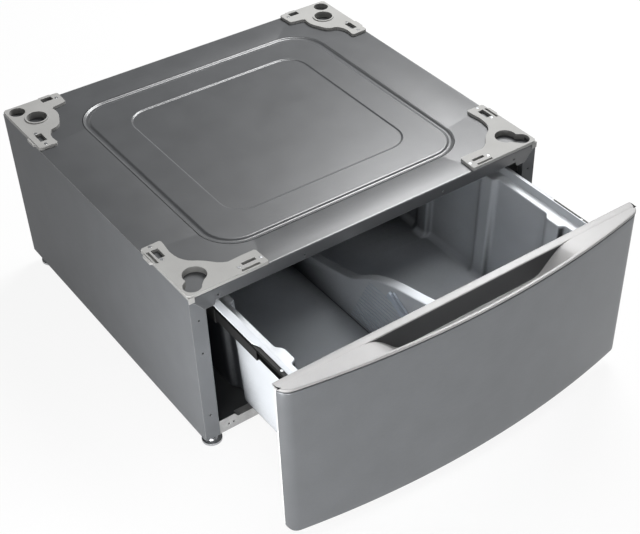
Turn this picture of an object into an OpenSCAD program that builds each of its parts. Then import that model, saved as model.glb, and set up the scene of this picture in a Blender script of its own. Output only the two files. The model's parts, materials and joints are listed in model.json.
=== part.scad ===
/* [Cabinet body] */
// Width of the cabinet across its side panels
body_w = 686; // [670:1:720]
// Depth of the cabinet from the front flange to the rear panel
body_d = 628.8; // [610:0.1:650]
// Height of the cabinet body without feet and brackets
body_h = 300.4; // [298:0.1:310]
// Thickness of the sheet steel
sheet = 1; // [0.8:0.1:1.2]
// Width of the side flanges beside the opening
flange_w = 27; // [24:0.5:29]
// Depth of the return bent back from a side flange
flange_return = 12; // [8:1:16]
// Height of the top plate's front flange
top_flange_h = 22; // [18:0.5:24]
// Extra height of the flange's end tabs
tab_drop = 8; // [6:0.5:9]
// Width of one end tab of the front flange
tab_w = 18; // [14:1:22]
// Slope width at the ends of a tab
tab_slope = 3; // [2:0.5:5]
// Mitre width at the corner of the front flange
mitre_w = 11.5; // [8:0.5:14]
// Radius of the bend at the front edge of the top
bend_r = 3; // [2:0.5:4]
// Width of the inward returns of the side panels
return_w = 16; // [12:1:20]
// Radius of a screw hole in the flanges
hole_r = 1.8; // [1.2:0.1:2.4]
// Distance of the outer flange holes from the side
hole_in = 50; // [46:1:54]
// Distance between the two top flange holes of a side
hole_pitch = 155; // [140:1:170]
// Height of the top flange holes below the top
hole_down = 13.8; // [11:0.1:16]
// Distance of the side flange holes from the side
side_hole_in = 13.5; // [12:0.5:15]
// Heights of the side flange holes as shares of the body height
side_hole_shares = [0.84, 0.62, 0.176];

/* [Top emboss] */
// Half width of the pressed groove's outline
groove_x = 249; // [235:1:255]
// Front end of the groove's outline
groove_y0 = 65; // [60:1:80]
// Rear end of the groove's outline
groove_y1 = 561; // [540:1:570]
// Corner radius of the groove
groove_r = 65; // [50:1:75]
// Width of the groove
groove_w = 13; // [8:1:18]
// Depth of the groove
groove_deep = 2.4; // [1.5:0.1:3]
// Half width of the recessed middle field
field_x = 180.5; // [165:0.5:190]
// Front end of the middle field
field_y0 = 135; // [125:1:150]
// Rear end of the middle field
field_y1 = 495; // [480:1:505]
// Corner radius of the middle field
field_r = 42; // [30:1:50]
// Depth of the middle field
field_deep = 1.6; // [1:0.1:2]

/* [Base] */
// Height of the front bottom rail
rail_h = 20; // [16:0.5:22]
// Raised height of the rail behind the side flanges
rail_end_h = 28; // [24:0.5:29]
// Thickness of the rail and of the bracket steel
plate = 1.2; // [1:0.1:1.5]
// Distance from the side to the rail's raised end
rail_end_in = 57; // [52:1:60]
// Slope width at the rail's raised end
rail_slope = 6; // [4:1:8]
// Depth of the rail's top return
rail_return = 14; // [10:1:18]
// Height of the base pan's upturned edge
pan_edge = 15; // [10:1:18]
// Height of the pressed ribs in the base pan
pan_rib = 3; // [2:0.5:4]
// Width of a pressed rib in the base pan
pan_rib_w = 24; // [18:1:30]

/* [Feet] */
// Height of the body above the floor
foot_h = 25; // [23:0.5:28]
// Distance of a foot from the side
foot_in = 21; // [19.5:0.5:24]
// Distance of a front foot from the front flange
foot_front = 21; // [19.5:0.5:24]
// Distance of a rear foot from the rear panel
foot_rear = 21; // [19.5:0.5:24]
// Radius of the foot's disc
foot_r = 17; // [15:0.5:18]
// Height of the foot's steel disc
foot_disc = 4; // [3:0.5:5]
// Thickness of the foot's rubber pad
foot_pad = 2; // [1.5:0.5:3]
// Radius of the raised boss over the disc
foot_boss_r = 9; // [8:0.5:10]
// Height of the raised boss over the disc
foot_boss = 3; // [2:0.5:4]
// Radius of the threaded stud
stud_r = 5; // [4.5:0.5:5.5]
// Length of the stud above the disc
stud_l = 46; // [42:1:50]
// Radial running fit of the stud in its nut plate
stud_fit = 0.08; // [0.05:0.01:0.1]
// Half width across the flats of a lock nut
nut_half = 8; // [7.5:0.5:9]
// Height of a lock nut
nut_h = 5; // [4:0.5:6]
// Side of a nut plate over the base pan
nut_plate_w = 34; // [30:1:35]
// Thickness of a nut plate
nut_plate_t = 3; // [2.5:0.5:4]
// Height of the welded nut on the nut plate
weld_nut_h = 8; // [6:0.5:10]
// Radius of the welded nut
weld_nut_r = 8.5; // [7.5:0.5:9.5]

/* [Corner brackets] */
// Height of the plastic corner brackets
bracket_h = 5.8; // [5.4:0.1:7]
// Thickness of a bracket's top skin
bracket_skin = 3.2; // [2.5:0.1:4]
// Depth of the pressed seat under the holes of a bracket
seat_deep = 5.2; // [4:0.2:6]
// Distance of a front seat from the cabinet's edges
seat_in = 5; // [4.4:0.2:6]
// Distance of a rear seat from the cabinet's edges
rear_seat_in = 3.3; // [3.3:0.1:3.6]
// Radius of a seat's corners
seat_r = 5; // [4:0.5:7]
// Width of the bracket's wall beside a hole in its seat
seat_wall = 4; // [3:0.5:5]
// Clearance of a bracket in its seat
seat_gap = 0.3; // [0.2:0.05:0.5]
// Length of a front bracket's side arm
bracket_l = 143; // [135:1:150]
// Outline of a front bracket as shares of its arm length
front_outline_shares = [
  [0, 0.03], [0.03, 0], [0.975, 0], [0.986, 0.02], [0.976, 0.24], [0.96, 0.257],
  [0.8, 0.257], [0.7, 0.252], [0.637, 0.25], [0.59, 0.27], [0.536, 0.309], [0.5, 0.35],
  [0.462, 0.393], [0.43, 0.425], [0.39, 0.458], [0.345, 0.49], [0.31, 0.52], [0.28, 0.56],
  [0.25, 0.618], [0.235, 0.69], [0.229, 0.774], [0.24, 0.86], [0.25, 0.97], [0.235, 0.995],
  [0.02, 0.99], [0, 0.97]];
// Outline of a rear bracket as shares of the arm length
rear_outline_shares = [
  [0, 0.03], [0.03, 0], [0.71, 0], [0.73, 0.02], [0.72, 0.235], [0.7, 0.252],
  [0.54, 0.28], [0.514, 0.301], [0.525, 0.37], [0.524, 0.434], [0.505, 0.5], [0.476, 0.56],
  [0.45, 0.62], [0.42, 0.67], [0.36, 0.71], [0.3, 0.72], [0.265, 0.76], [0.235, 0.82],
  [0.225, 0.9], [0.235, 1], [0.215, 1.028], [0.02, 1.02], [0, 1]];
// Screws of a front bracket as shares of its arm length
front_screw_shares = [[0.676, 0.103], [0.952, 0.104], [0.101, 0.7], [0.104, 0.962]];
// Screws of a rear bracket as shares of its arm length
rear_screw_shares = [[0.66, 0.103], [0.101, 0.7], [0.104, 0.962]];
// Ends of a rear bracket's rear window as shares of the arm length
rear_window_shares = [0.48, 0.62];
// Radius of the large end of a front keyhole
key_r = 19; // [17:0.5:19.5]
// Radius of the small end of a front keyhole
key_small_r = 14.5; // [13:0.5:15]
// Distance of the keyhole's large end from the side
key_x = 35; // [33.5:0.5:35]
// Distance of the keyhole's large end from the front
key_y = 40; // [39:0.5:42]
// Distance of the keyhole's small end from both edges
key_small = 18.5; // [17.5:0.5:19.5]
// Step from the small end's radius to the neck of the keyhole
neck_step = 1.1; // [0.9:0.1:2]
// Radius of a rear bracket's corner bore
corner_bore_r = 14; // [12:0.5:14]
// Distance of the corner bore from both edges
corner_bore = 18.5; // [18.5:0.5:19.5]
// Radius of a rear bracket's inboard bore
inboard_bore_r = 17.5; // [16:0.5:18.5]
// Distance of the inboard bore from the side
inboard_x = 38.5; // [37:0.5:40]
// Distance of the inboard bore from the rear
inboard_y = 55; // [54:0.5:57]
// Width of the raised collar round a bore
collar_w = 3; // [2:0.5:3.5]
// Height of the raised collar
collar_h = 2; // [1:0.5:3]
// Length of a window in a bracket arm
window_l = 24; // [18:1:26]
// Width of a window in a bracket arm
window_w = 12; // [9:0.5:13]
// Distance of a window from the bracket's edge
window_in = 10.5; // [9:0.5:12]
// Distance of a window's end from the end of its arm
window_end = 15; // [13:1:18]
// Length of the clip pocket at a bracket's edge
clip_l = 32; // [28:1:34]
// Width of the clip pocket
clip_w = 4.5; // [3.5:0.5:5]
// Overhang of a bracket's grip past the cabinet's edge
clip_out = 4; // [3:0.5:5]
// Width of the rim between a clip pocket and the bracket's edge
clip_t = 2.4; // [2:0.2:3]
// Height of a clip pocket's floor over the top
clip_rise = 2.2; // [1.6:0.2:3]
// Length of a bracket's grip
grip_l = 28; // [24:1:32]
// Width of the corner tab over the front flange
corner_tab = 10; // [9:1:13]
// Thickness of the corner tab
corner_tab_t = 1.2; // [1:0.1:1.4]
// Height of the corner tab below the top
corner_tab_h = 8; // [7:1:12]
// Radius of a bracket screw's shank
screw_r = 2; // [1.6:0.1:2.4]
// Radius of the head of a screw in the drawer front
screw_head_r = 4; // [3.4:0.1:4.6]
// Radius of a bracket screw's head
small_head_r = 2.8; // [2.4:0.1:3]
// Height of a screw's head
screw_head_h = 1.6; // [1.2:0.1:2]
// Clearance round a screw's head in its counterbore
head_gap = 0.3; // [0.2:0.05:0.4]

/* [Slides] */
// Distance of the slide's drawer side from the middle plane
slide_x = 289.5; // [288.6:0.1:290.4]
// Height of the slide's middle line over the body's bottom
slide_z = 243; // [242:0.1:243]
// Half height of the outer member
outer_half = 13; // [12.6:0.1:13]
// Radial step from one member's flange to the next
member_step = 3.4; // [3.2:0.1:3.5]
// Thickness of the slide's sheet
slide_t = 1; // [0.9:0.05:1.1]
// Thickness of a ball cage
cage_t = 0.4; // [0.3:0.05:0.5]
// Clearance between the webs of the members and cages
web_gap = 0.35; // [0.3:0.05:0.4]
// Reach of the inner member's flanges
inner_reach = 6.1; // [5.5:0.1:6.1]
// Distance of the middle member's flange edges from the drawer side
middle_edge = 1.4; // [1.2:0.1:2]
// Distance of the outer member's flange edges from the drawer side
outer_edge = 3; // [2.4:0.1:3.4]
// Distance of the inner cage's edges from the drawer side
inner_cage_edge = 2; // [1.8:0.1:2.4]
// Distance of the outer cage's edges from the drawer side
outer_cage_edge = 4; // [3.6:0.1:4.4]
// Length of the outer member
outer_l = 500; // [480:5:520]
// Length of the middle member
middle_l = 480; // [470:5:490]
// Length of the inner member
inner_l = 490; // [480:5:500]
// Distance of the outer member behind the front
outer_y0 = 6; // [4:0.5:10]
// Distance of the closed middle member behind the front
middle_y0 = 3; // [2.5:0.5:5]
// Distance of the closed inner member behind the front
inner_y0 = 1.2; // [1:0.1:2]
// Radius of a ball
ball_r = 1.1; // [1:0.05:1.1]
// Number of balls in one row
ball_count = 8; // [6:1:10]
// Length of a ball cage
cage_l = 230; // [200:5:240]
// Distance of a closed ball cage behind the front
cage_y0 = 120; // [110:5:130]
// Radial clearance of a ball in its cage
ball_gap = 0.06; // [0.04:0.01:0.08]

/* [Slide supports] */
// Width of a slide support along the depth
support_w = 46; // [40:1:52]
// Height of a slide support
support_h = 44; // [38:1:48]
// Width of the foot flanges of a support
support_foot = 12; // [9:1:14]
// Distance of the front support behind the front
support_y0 = 40; // [32:1:48]
// Distance between the two supports of a side
support_pitch = 400; // [380:5:410]
// Radius of a rivet
rivet_r = 2; // [1.6:0.1:2.2]
// Clearance of a rivet or screw in the holes of the sheets
rivet_gap = 0.1; // [0.05:0.05:0.2]
// Radius of a rivet's head
rivet_head_r = 3; // [2.8:0.1:3]
// Height of a rivet's head
rivet_head = 0.6; // [0.4:0.05:0.65]

// Rivets of a drawer rail as shares of the inner member's length
rail_rivet_shares = [0.05, 0.19, 0.32, 0.64, 0.96];
// Rivets on the shelf of a slide bracket as shares of its length
shelf_rivet_shares = [0.18, 0.42];
// Reach of a slide bracket's shelf over the slide
shelf_w = 8.8; // [8:0.1:9.4]
// Clearance of the shelf over the outer member
shelf_gap = 0.9; // [0.6:0.1:1]

/* [Drawer tub] */
// Distance the drawer stands open
drawer_out = 216; // [0:1:430]
// Gap between the drawer front and the flanges when closed
front_gap = 2; // [1.8:0.1:2.5]
// Half width of the tub's inner wall at its ledge
tub_x = 269.5; // [267:0.5:271]
// Length of the tub's inside at its ledge
tub_l = 500; // [490:1:505]
// Height of the ledge inside the rim
ledge_z = 250; // [249.8:0.1:250.3]
// Width of the ledge
ledge_w = 16; // [15:0.1:16.1]
// Width of the lip outside the ledge
lip_w = 11.5; // [11:0.1:12]
// Height of the rim over the ledge
rim_h = 15.2; // [14.5:0.1:15.6]
// Fall of the sloping lip from its crest
lip_fall = 5; // [4.6:0.1:5]
// Thickness of the tub's wall
wall = 2.4; // [2.2:0.1:2.6]
// Height of the lip's turned-down edge
lip_edge = 2.6; // [2.4:0.1:2.8]
// Height of the tub's bottom over the body's bottom
tub_z = 30; // [30:0.5:33]
// Thickness of the tub's floor
tub_floor = 3; // [2.5:0.1:4]
// Lean of the tub's walls per unit of height
draft_share = 0.048;
// Outer corner radius of the tub at its rim
tub_r = 32; // [30:0.5:36]
// Outer radius between the walls and the bottom
tub_round = 15; // [12:0.5:16]
// Distance from the front wall to the first pilaster
pilaster_y = 58; // [54:1:64]
// Length of a pilaster along the wall
pilaster_l = 50; // [46:1:54]
// Depth of a pilaster into the tub
pilaster_d = 9.8; // [9:0.1:11]
// Distance between two pilasters
pilaster_pitch = 163; // [158:1:168]
// Plan of a pilaster as shares of its length and depth
pilaster_shares = [
  [0, -0.4], [0, 0], [0.08, 0.12], [0.13, 0.5], [0.17, 0.92], [0.24, 1], [0.62, 1],
  [0.74, 0.9], [0.84, 0.5], [0.92, 0.14], [1, 0], [1, -0.4]];
// Length of the narrow lip beside a slide bracket
narrow_l = 118; // [110:1:122]
// Width of the cut-back lip
narrow_w = 6; // [5:0.1:7]
// Length of a divider slot in the floor
slot_l = 12; // [10:1:14]
// Width of a divider slot in the floor
slot_w = 8; // [7:0.5:9]

// Screws of the tub's front as shares of the half width
front_screw_x_shares = [0.23, 0.7];

/* [Divider] */
// Width of the divider
divider_w = 20; // [18:0.5:22]
// Height of the divider's front end over the body's bottom
divider_z = 214; // [205:1:220]
// Top curve as shares of the inside length and of the height
divider_top_shares = [
  [0, 0.995], [0.03, 0.99], [0.09, 0.972], [0.155, 0.953], [0.23, 0.91], [0.31, 0.868],
  [0.39, 0.815], [0.43, 0.777], [0.474, 0.73], [0.515, 0.672], [0.555, 0.606],
  [0.59, 0.566], [0.64, 0.533], [0.72, 0.485], [0.8, 0.448], [0.87, 0.425], [1, 0.41]];
// Wall of the divider
divider_wall = 2.2; // [2:0.1:2.6]
// Clearance of the divider from the tub
divider_gap = 0.4; // [0.35:0.05:0.6]
// Pitch of the fine ribs on the divider's left face
rib_pitch = 9; // [8:0.5:10]
// Height of the lowest fine rib
rib_z0 = 62; // [58:1:66]
// Number of fine ribs
rib_count = 9; // [7:1:10]
// Front end of the fine ribs
rib_y0 = 60; // [55:1:66]
// Length of the fine ribs
rib_l = 122; // [110:1:130]
// Height of a fine rib
rib_h = 2; // [1.5:0.1:2.4]
// Depth of a fine rib
rib_d = 0.8; // [0.6:0.1:1]
// Length of a slanted bar
bar_l = 44; // [38:1:48]
// Height of a slanted bar
bar_h = 6; // [5:0.5:7]
// Depth of a slanted bar
bar_d = 2.4; // [2:0.1:3]
// Lean of the slanted bars
bar_tilt = 28; // [24:1:32]
// Height of the front slanted bar's lower end
bar_z = 138; // [134:1:142]
// Front end of the slanted bars
bar_y = 134; // [128:1:140]
// Step from one slanted bar to the next
bar_step = 15; // [13:0.5:17]

/* [Drawer front] */
// Bow of the drawer front over its width
bow = 36; // [30:0.5:40]
// Depth of the drawer front in its middle
front_d = 59.5; // [56:0.5:64]
// Vertical corner radius of the drawer front
front_r = 21; // [18:0.5:22]
// Radius of the drawer front's lower corners
low_r = 9; // [6:0.5:12]
// Thickness of the drawer front's skin
skin = 1.2; // [1:0.1:1.4]
// Height of the skin's lower edge over the body's bottom
front_z0 = 5; // [4:0.5:7]
// Height of the trim along the top of the front
trim_h = 4.6; // [4.2:0.2:6]
// Height of the trim's top over the cabinet's top
trim_rise = 2.4; // [1.6:0.2:3]
// Shadow gap between the trim and the skin
reveal = 2.4; // [1.8:0.2:3]
// Depth from the trim's rear edge to the skin's edge
skin_back = 8; // [7:0.5:10]
// Width of the skin's top and bottom returns
skin_return = 9; // [7:0.5:10]
// Thickness of the backing
backing_t = 3; // [2.6:0.1:3.5]
// Clearance of the backing inside the skin
backing_gap = 4; // [3.6:0.1:5]
// Height of the backing's ribs
backing_rib = 9; // [8:0.5:9.5]
// Thickness of the trim's wall
trim_t = 2.4; // [2.2:0.1:2.8]
// Distance of the trim's face in front of the skin
trim_proud = 0.6; // [0.4:0.1:0.8]
// Half width of the handle pocket
pocket_x = 204; // [196:1:210]
// Width of the sloping ends of the pocket
pocket_slope = 84; // [78:1:96]
// Depth of the pocket
pocket_z = 43; // [38:0.5:44]
// Distance of the pocket's rear wall from the trim's rear edge
pocket_back = 14; // [13:0.5:15]
// Width of the lip in front of the pocket
pocket_lip = 6; // [5:0.5:7]
// Curve of the pocket's ends as shares of their width and depth
pocket_end_shares = [
  [0, 0], [0.1, 0.012], [0.2, 0.045], [0.32, 0.125], [0.46, 0.32], [0.56, 0.5],
  [0.66, 0.69], [0.74, 0.84], [0.8, 0.92], [0.88, 0.975], [1, 1]];
// Thickness of the pocket's rear plate
pocket_plate = 2; // [1.6:0.1:2.4]
// Radius of a rubber bumper
bumper_r = 5; // [4:0.5:6]
// Height of a rubber bumper
bumper_h = 1.5; // [1.2:0.1:1.5]
// Distance of a bumper from the side
bumper_in = 14; // [12:0.5:16]
// Distance of a bumper from the front's edges
bumper_z = 26; // [22:1:30]

/* [Hidden] */
overrun = 1.5;
fine = 48;
half_w = body_w / 2;
bracket_top = body_h + bracket_h;
travel_closed = front_gap;
front_y = drawer_out + front_gap + front_d + trim_proud;
rear_y = body_d + clip_out;
shift_y = (front_y - rear_y) / 2;
front_seat_x = key_x + key_r + seat_wall;
front_seat_y = key_y + key_r + seat_wall;
rear_seat_x = inboard_x + inboard_bore_r + seat_wall;
rear_seat_y = inboard_y + inboard_bore_r + seat_wall;
middle_share = 0.5;
outer_cage_share = 0.25;
inner_cage_share = 0.75;

// Radii of the slide's members
middle_half = outer_half - member_step;
inner_half = middle_half - member_step;
outer_ball_z = (outer_half - slide_t + middle_half) / 2;
inner_ball_z = (middle_half - slide_t + inner_half) / 2;
// Depths of the slide's webs from its drawer side
inner_cage_t0 = inner_reach + web_gap;
middle_t0 = inner_cage_t0 + cage_t + web_gap;
outer_cage_t0 = middle_t0 + slide_t + web_gap;
outer_t0 = outer_cage_t0 + cage_t + web_gap;
slide_depth = outer_t0 + slide_t;

// Drawer front in the closed drawer's own frame
front_back = -front_gap;
bow_r = (pow(half_w, 2) + pow(bow, 2)) / (2 * bow);
trim_z1 = body_h + trim_rise;
trim_z0 = trim_z1 - trim_h;
skin_z1 = trim_z0 - reveal;

// Tub in the closed drawer's own frame
tub_y0 = front_back + plate;
tub_in_y0 = tub_y0 + wall;
tub_in_y1 = tub_in_y0 + tub_l;
ledge_low = ledge_z - wall;
tub_in_r = tub_r - wall;

module place() {
  translate([0, shift_y, foot_h]) children();
}

module drawer_place() {
  place() translate([0, -drawer_out, 0]) children();
}

module middle_place() {
  place() translate([0, -drawer_out * middle_share, 0]) children();
}

module outer_cage_place() {
  place() translate([0, -drawer_out * outer_cage_share, 0]) children();
}

module inner_cage_place() {
  place() translate([0, -drawer_out * inner_cage_share, 0]) children();
}

module both() {
  children();
  mirror([1, 0, 0]) children();
}

module bar(x0, x1, y0, y1, z0, z1) {
  translate([x0, y0, z0]) cube([x1 - x0, y1 - y0, z1 - z0]);
}

module upright(y0, y1) {
  translate([0, y1, 0]) rotate([90, 0, 0]) linear_extrude(y1 - y0) children();
}

module rounded(x0, x1, y0, y1, r) {
  translate([x0 + r, y0]) square([x1 - x0 - 2 * r, y1 - y0]);
  translate([x0, y0 + r]) square([x1 - x0, y1 - y0 - 2 * r]);
  for (x = [x0 + r, x1 - r]) for (y = [y0 + r, y1 - r])
    translate([x, y]) circle(r = r, $fn = fine);
}

module round_field(x, y0, y1, r) {
  translate([-x + r, y0]) square([2 * (x - r), y1 - y0]);
  translate([-x, y0 + r]) square([2 * x, y1 - y0 - 2 * r]);
  for (sx = [-1, 1]) {
    translate([sx * (x - r), y0 + r]) circle(r = r, $fn = fine);
    translate([sx * (x - r), y1 - r]) circle(r = r, $fn = fine);
  }
}

// Cabinet

module side_panel() {
  difference() {
    union() {
      bar(half_w - sheet, half_w, sheet, body_d, 0, body_h - sheet);
      bar(half_w - flange_w, half_w, sheet, 2 * sheet, 0, body_h - sheet);
      bar(half_w - flange_w, half_w - flange_w + sheet, sheet, flange_return,
        rail_end_h + sheet, body_h - top_flange_h - tab_drop);
      bar(half_w - return_w, half_w, front_seat_y + 2 * sheet,
        body_d - rear_seat_y - 2 * sheet, body_h - 2 * sheet, body_h - sheet);
      bar(half_w - return_w, half_w, flange_return, body_d - sheet, 0, sheet);
      bar(half_w - return_w, half_w, body_d - 2 * sheet, body_d - sheet, 0,
        body_h - sheet);
    }
    bar(half_w - flange_w - overrun, half_w + overrun, -overrun, bend_r, body_h - bend_r, body_h);
    for (share = side_hole_shares)
      translate([half_w - side_hole_in, -overrun, body_h * share]) rotate([-90, 0, 0])
        cylinder(r = hole_r, h = 2 * sheet + 2 * overrun, $fn = fine);
    for (y = [foot_front, body_d - foot_rear])
      translate([half_w - foot_in, y, -overrun])
        cylinder(r = stud_r + 2 * sheet, h = sheet + 2 * overrun, $fn = fine);
  }
}

module side_panel_right() {
  color("dimgray") place() side_panel();
}

module side_panel_left() {
  color("dimgray") place() mirror([1, 0, 0]) side_panel();
}

module rear_panel() {
  color("dimgray") place() difference() {
    union() {
      bar(-half_w + sheet, half_w - sheet, body_d - sheet, body_d, 0, body_h - sheet);
      upright(body_d - groove_deep - sheet, body_d)
        round_field(groove_x + sheet, groove_y0 - sheet, body_h - groove_y0 + sheet, field_r);
    }
    upright(body_d - groove_deep, body_d + overrun)
      round_field(groove_x, groove_y0, body_h - groove_y0, field_r - sheet);
  }
}

module flange_front() {
  z0 = body_h - top_flange_h;
  z1 = z0 - tab_drop;
  x1 = half_w - flange_w;
  polygon([
    [0, z0], [x1 - tab_w, z0], [x1 - tab_w + tab_slope, z1], [x1 + tab_slope, z1],
    [half_w - mitre_w, body_h - top_flange_h + tab_drop], [half_w, body_h - mitre_w / 2],
    [half_w, body_h], [0, body_h]]);
}

module top_section() {
  difference() {
    union() {
      translate([bend_r, body_h - sheet]) square([body_d - bend_r, sheet]);
      translate([0, body_h - top_flange_h - tab_drop])
        square([sheet, top_flange_h + tab_drop - bend_r]);
      intersection() {
        translate([bend_r, body_h - bend_r]) circle(r = bend_r, $fn = fine);
        translate([0, body_h - bend_r]) square([bend_r, bend_r]);
      }
    }
    translate([bend_r, body_h - bend_r]) circle(r = bend_r - sheet, $fn = fine);
  }
}

// Plans of the seats and of the bracket parts in them, from the left corner of the top

module front_seat(grow) {
  rounded(seat_in - grow, front_seat_x + grow, seat_in - grow, front_seat_y + grow,
    seat_r + grow);
}

module rear_seat(grow) {
  rounded(rear_seat_in - grow, rear_seat_x + grow, rear_seat_in - grow, rear_seat_y + grow,
    seat_r + grow);
}

module seats(grow, z0, z1) {
  both() translate([-half_w, 0, z0]) linear_extrude(z1 - z0) {
    front_seat(grow);
    translate([0, body_d]) mirror([0, 1]) rear_seat(grow);
  }
}

module top_plate() {
  color("gray") place() difference() {
    union() {
      seats(sheet, body_h - seat_deep - sheet, body_h - sheet / 2);
      intersection() {
        translate([-half_w, 0, 0]) rotate([90, 0, 90]) linear_extrude(body_w) top_section();
        union() {
          both() upright(-overrun, bend_r) flange_front();
          bar(-half_w, half_w, bend_r, body_d, body_h - 2 * sheet, body_h);
        }
      }
      translate([0, 0, body_h - groove_deep - sheet]) linear_extrude(groove_deep + sheet)
        difference() {
          round_field(groove_x + sheet, groove_y0 - sheet, groove_y1 + sheet, groove_r + sheet);
          round_field(groove_x - groove_w - sheet, groove_y0 + groove_w + sheet,
            groove_y1 - groove_w - sheet, groove_r - groove_w - sheet);
        }
      translate([0, 0, body_h - field_deep - sheet]) linear_extrude(field_deep + sheet)
        round_field(field_x + sheet, field_y0 - sheet, field_y1 + sheet, field_r + sheet);
    }
    seats(0, body_h - seat_deep, body_h + overrun);
    translate([0, 0, body_h - groove_deep]) linear_extrude(groove_deep + overrun)
      difference() {
        round_field(groove_x, groove_y0, groove_y1, groove_r);
        round_field(groove_x - groove_w, groove_y0 + groove_w, groove_y1 - groove_w,
          groove_r - groove_w);
      }
    translate([0, 0, body_h - field_deep]) linear_extrude(field_deep + overrun)
      round_field(field_x, field_y0, field_y1, field_r);
    for (sx = [-1, 1]) for (x = [hole_in, hole_in + hole_pitch])
      translate([sx * (half_w - x), -overrun, body_h - hole_down]) rotate([-90, 0, 0])
        cylinder(r = hole_r, h = sheet + 2 * overrun, $fn = fine);
    both() {
      translate([-half_w, 0, body_h - sheet - overrun]) for (p = front_screw_shares)
        translate([p[0] * bracket_l, p[1] * bracket_l, 0])
          cylinder(r = screw_r + rivet_gap, h = sheet + 2 * overrun, $fn = fine);
      translate([-half_w, body_d, body_h - sheet - overrun]) for (p = rear_screw_shares)
        translate([p[0] * bracket_l, -p[1] * bracket_l, 0])
          cylinder(r = screw_r + rivet_gap, h = sheet + 2 * overrun, $fn = fine);
    }
  }
}

module base_pan() {
  color("dimgray") place() difference() {
    union() {
      bar(-half_w + sheet, half_w - sheet, 2 * sheet + plate, body_d - 2 * sheet, sheet,
        2 * sheet);
      bar(-half_w + return_w, half_w - return_w, body_d - 3 * sheet, body_d - 2 * sheet, sheet,
        pan_edge);
      both() bar(half_w - 2 * sheet, half_w - sheet, flange_return, body_d - 2 * sheet, sheet,
        pan_edge);
      for (k = [1, 2, 3])
        bar(-groove_x, groove_x, body_d * k / 4 - pan_rib_w / 2, body_d * k / 4 + pan_rib_w / 2,
          sheet, sheet + pan_rib);
    }
    for (k = [1, 2, 3])
      bar(-groove_x + sheet, groove_x - sheet, body_d * k / 4 - pan_rib_w / 2 + sheet,
        body_d * k / 4 + pan_rib_w / 2 - sheet, -overrun, pan_rib);
    for (sx = [-1, 1]) for (y = [foot_front, body_d - foot_rear])
      translate([sx * (half_w - foot_in), y, -overrun])
        cylinder(r = stud_r + sheet, h = 2 * sheet + 2 * overrun, $fn = fine);
  }
}

module front_rail() {
  color("lightgray") place() difference() {
    union() {
      both() upright(2 * sheet, 2 * sheet + plate)
        polygon([
          [0, 0], [half_w - sheet, 0], [half_w - sheet, rail_end_h],
          [half_w - rail_end_in, rail_end_h], [half_w - rail_end_in - rail_slope, rail_h],
          [0, rail_h]]);
      bar(-half_w + rail_end_in + rail_slope, half_w - rail_end_in - rail_slope,
        2 * sheet, 2 * sheet + rail_return, rail_h - plate, rail_h);
    }
    for (sx = [-1, 1]) for (x = [rail_end_in - tab_w + rail_slope, rail_end_in - rail_slope / 2])
      translate([sx * (half_w - x), 0, rail_h * side_hole_shares[1]]) rotate([-90, 0, 0])
        cylinder(r = hole_r, h = 2 * sheet + plate + overrun, $fn = fine);
  }
}

module nut_plates() {
  color("silver") place() for (sx = [-1, 1]) for (y = [foot_front, body_d - foot_rear])
    translate([sx * (half_w - foot_in), y, 2 * sheet]) difference() {
      union() {
        bar(-nut_plate_w / 2, nut_plate_w / 2, -nut_plate_w / 2, nut_plate_w / 2, 0,
          nut_plate_t);
        cylinder(r = weld_nut_r, h = nut_plate_t + weld_nut_h, $fn = 6);
      }
      translate([0, 0, -overrun])
        cylinder(r = stud_r + stud_fit, h = nut_plate_t + weld_nut_h + 2 * overrun, $fn = fine);
    }
}

// Feet

module foot() {
  translate([0, 0, -foot_h + foot_pad]) {
    cylinder(r = foot_r, h = foot_disc, $fn = fine);
    translate([0, 0, foot_disc]) cylinder(r1 = foot_boss_r + sheet, r2 = foot_boss_r - sheet,
      h = foot_boss, $fn = fine);
    translate([0, 0, foot_disc]) cylinder(r = stud_r, h = stud_l, $fn = fine);
  }
}

module pad() {
  translate([0, 0, -foot_h]) cylinder(r1 = foot_r - 2 * sheet, r2 = foot_r - sheet,
    h = foot_pad, $fn = fine);
}

module at_foot(sx, rear) {
  place() translate([
    sx * (half_w - foot_in), rear ? body_d - foot_rear : foot_front, 0]) children();
}

module foot_front_left() {
  color("silver") at_foot(-1, false) foot();
}

module foot_front_right() {
  color("silver") at_foot(1, false) foot();
}

module foot_rear_left() {
  color("silver") at_foot(-1, true) foot();
}

module foot_rear_right() {
  color("silver") at_foot(1, true) foot();
}

module pad_front_left() {
  color("black") at_foot(-1, false) pad();
}

module pad_front_right() {
  color("black") at_foot(1, false) pad();
}

module pad_rear_left() {
  color("black") at_foot(-1, true) pad();
}

module pad_rear_right() {
  color("black") at_foot(1, true) pad();
}

module lock_nuts() {
  color("silver") for (sx = [-1, 1]) for (rear = [false, true]) at_foot(sx, rear)
    translate([0, 0, -nut_h]) difference() {
      cylinder(r = nut_half / cos(30), h = nut_h, $fn = 6);
      translate([0, 0, -overrun])
        cylinder(r = stud_r + stud_fit, h = nut_h + 2 * overrun, $fn = fine);
    }
}

// Corner brackets, drawn at the left corner with the edges on the axes

module grip(l) {
  translate([0, 0, body_h]) linear_extrude(bracket_h - clip_rise / 2)
    polygon([[clip_t, -l / 2], [0, -l / 2], [-clip_out, clip_out - l / 2],
      [-clip_out, l / 2 - clip_out], [0, l / 2], [clip_t, l / 2]]);
}

module bracket_holes(shares) {
  for (p = shares) translate([p[0] * bracket_l, p[1] * bracket_l, body_h - overrun]) {
    cylinder(r = screw_r + rivet_gap, h = bracket_h + 2 * overrun, $fn = fine);
    translate([0, 0, overrun + bracket_h - screw_head_h])
      cylinder(r = small_head_r + head_gap, h = screw_head_h + overrun, $fn = fine);
  }
}

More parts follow.
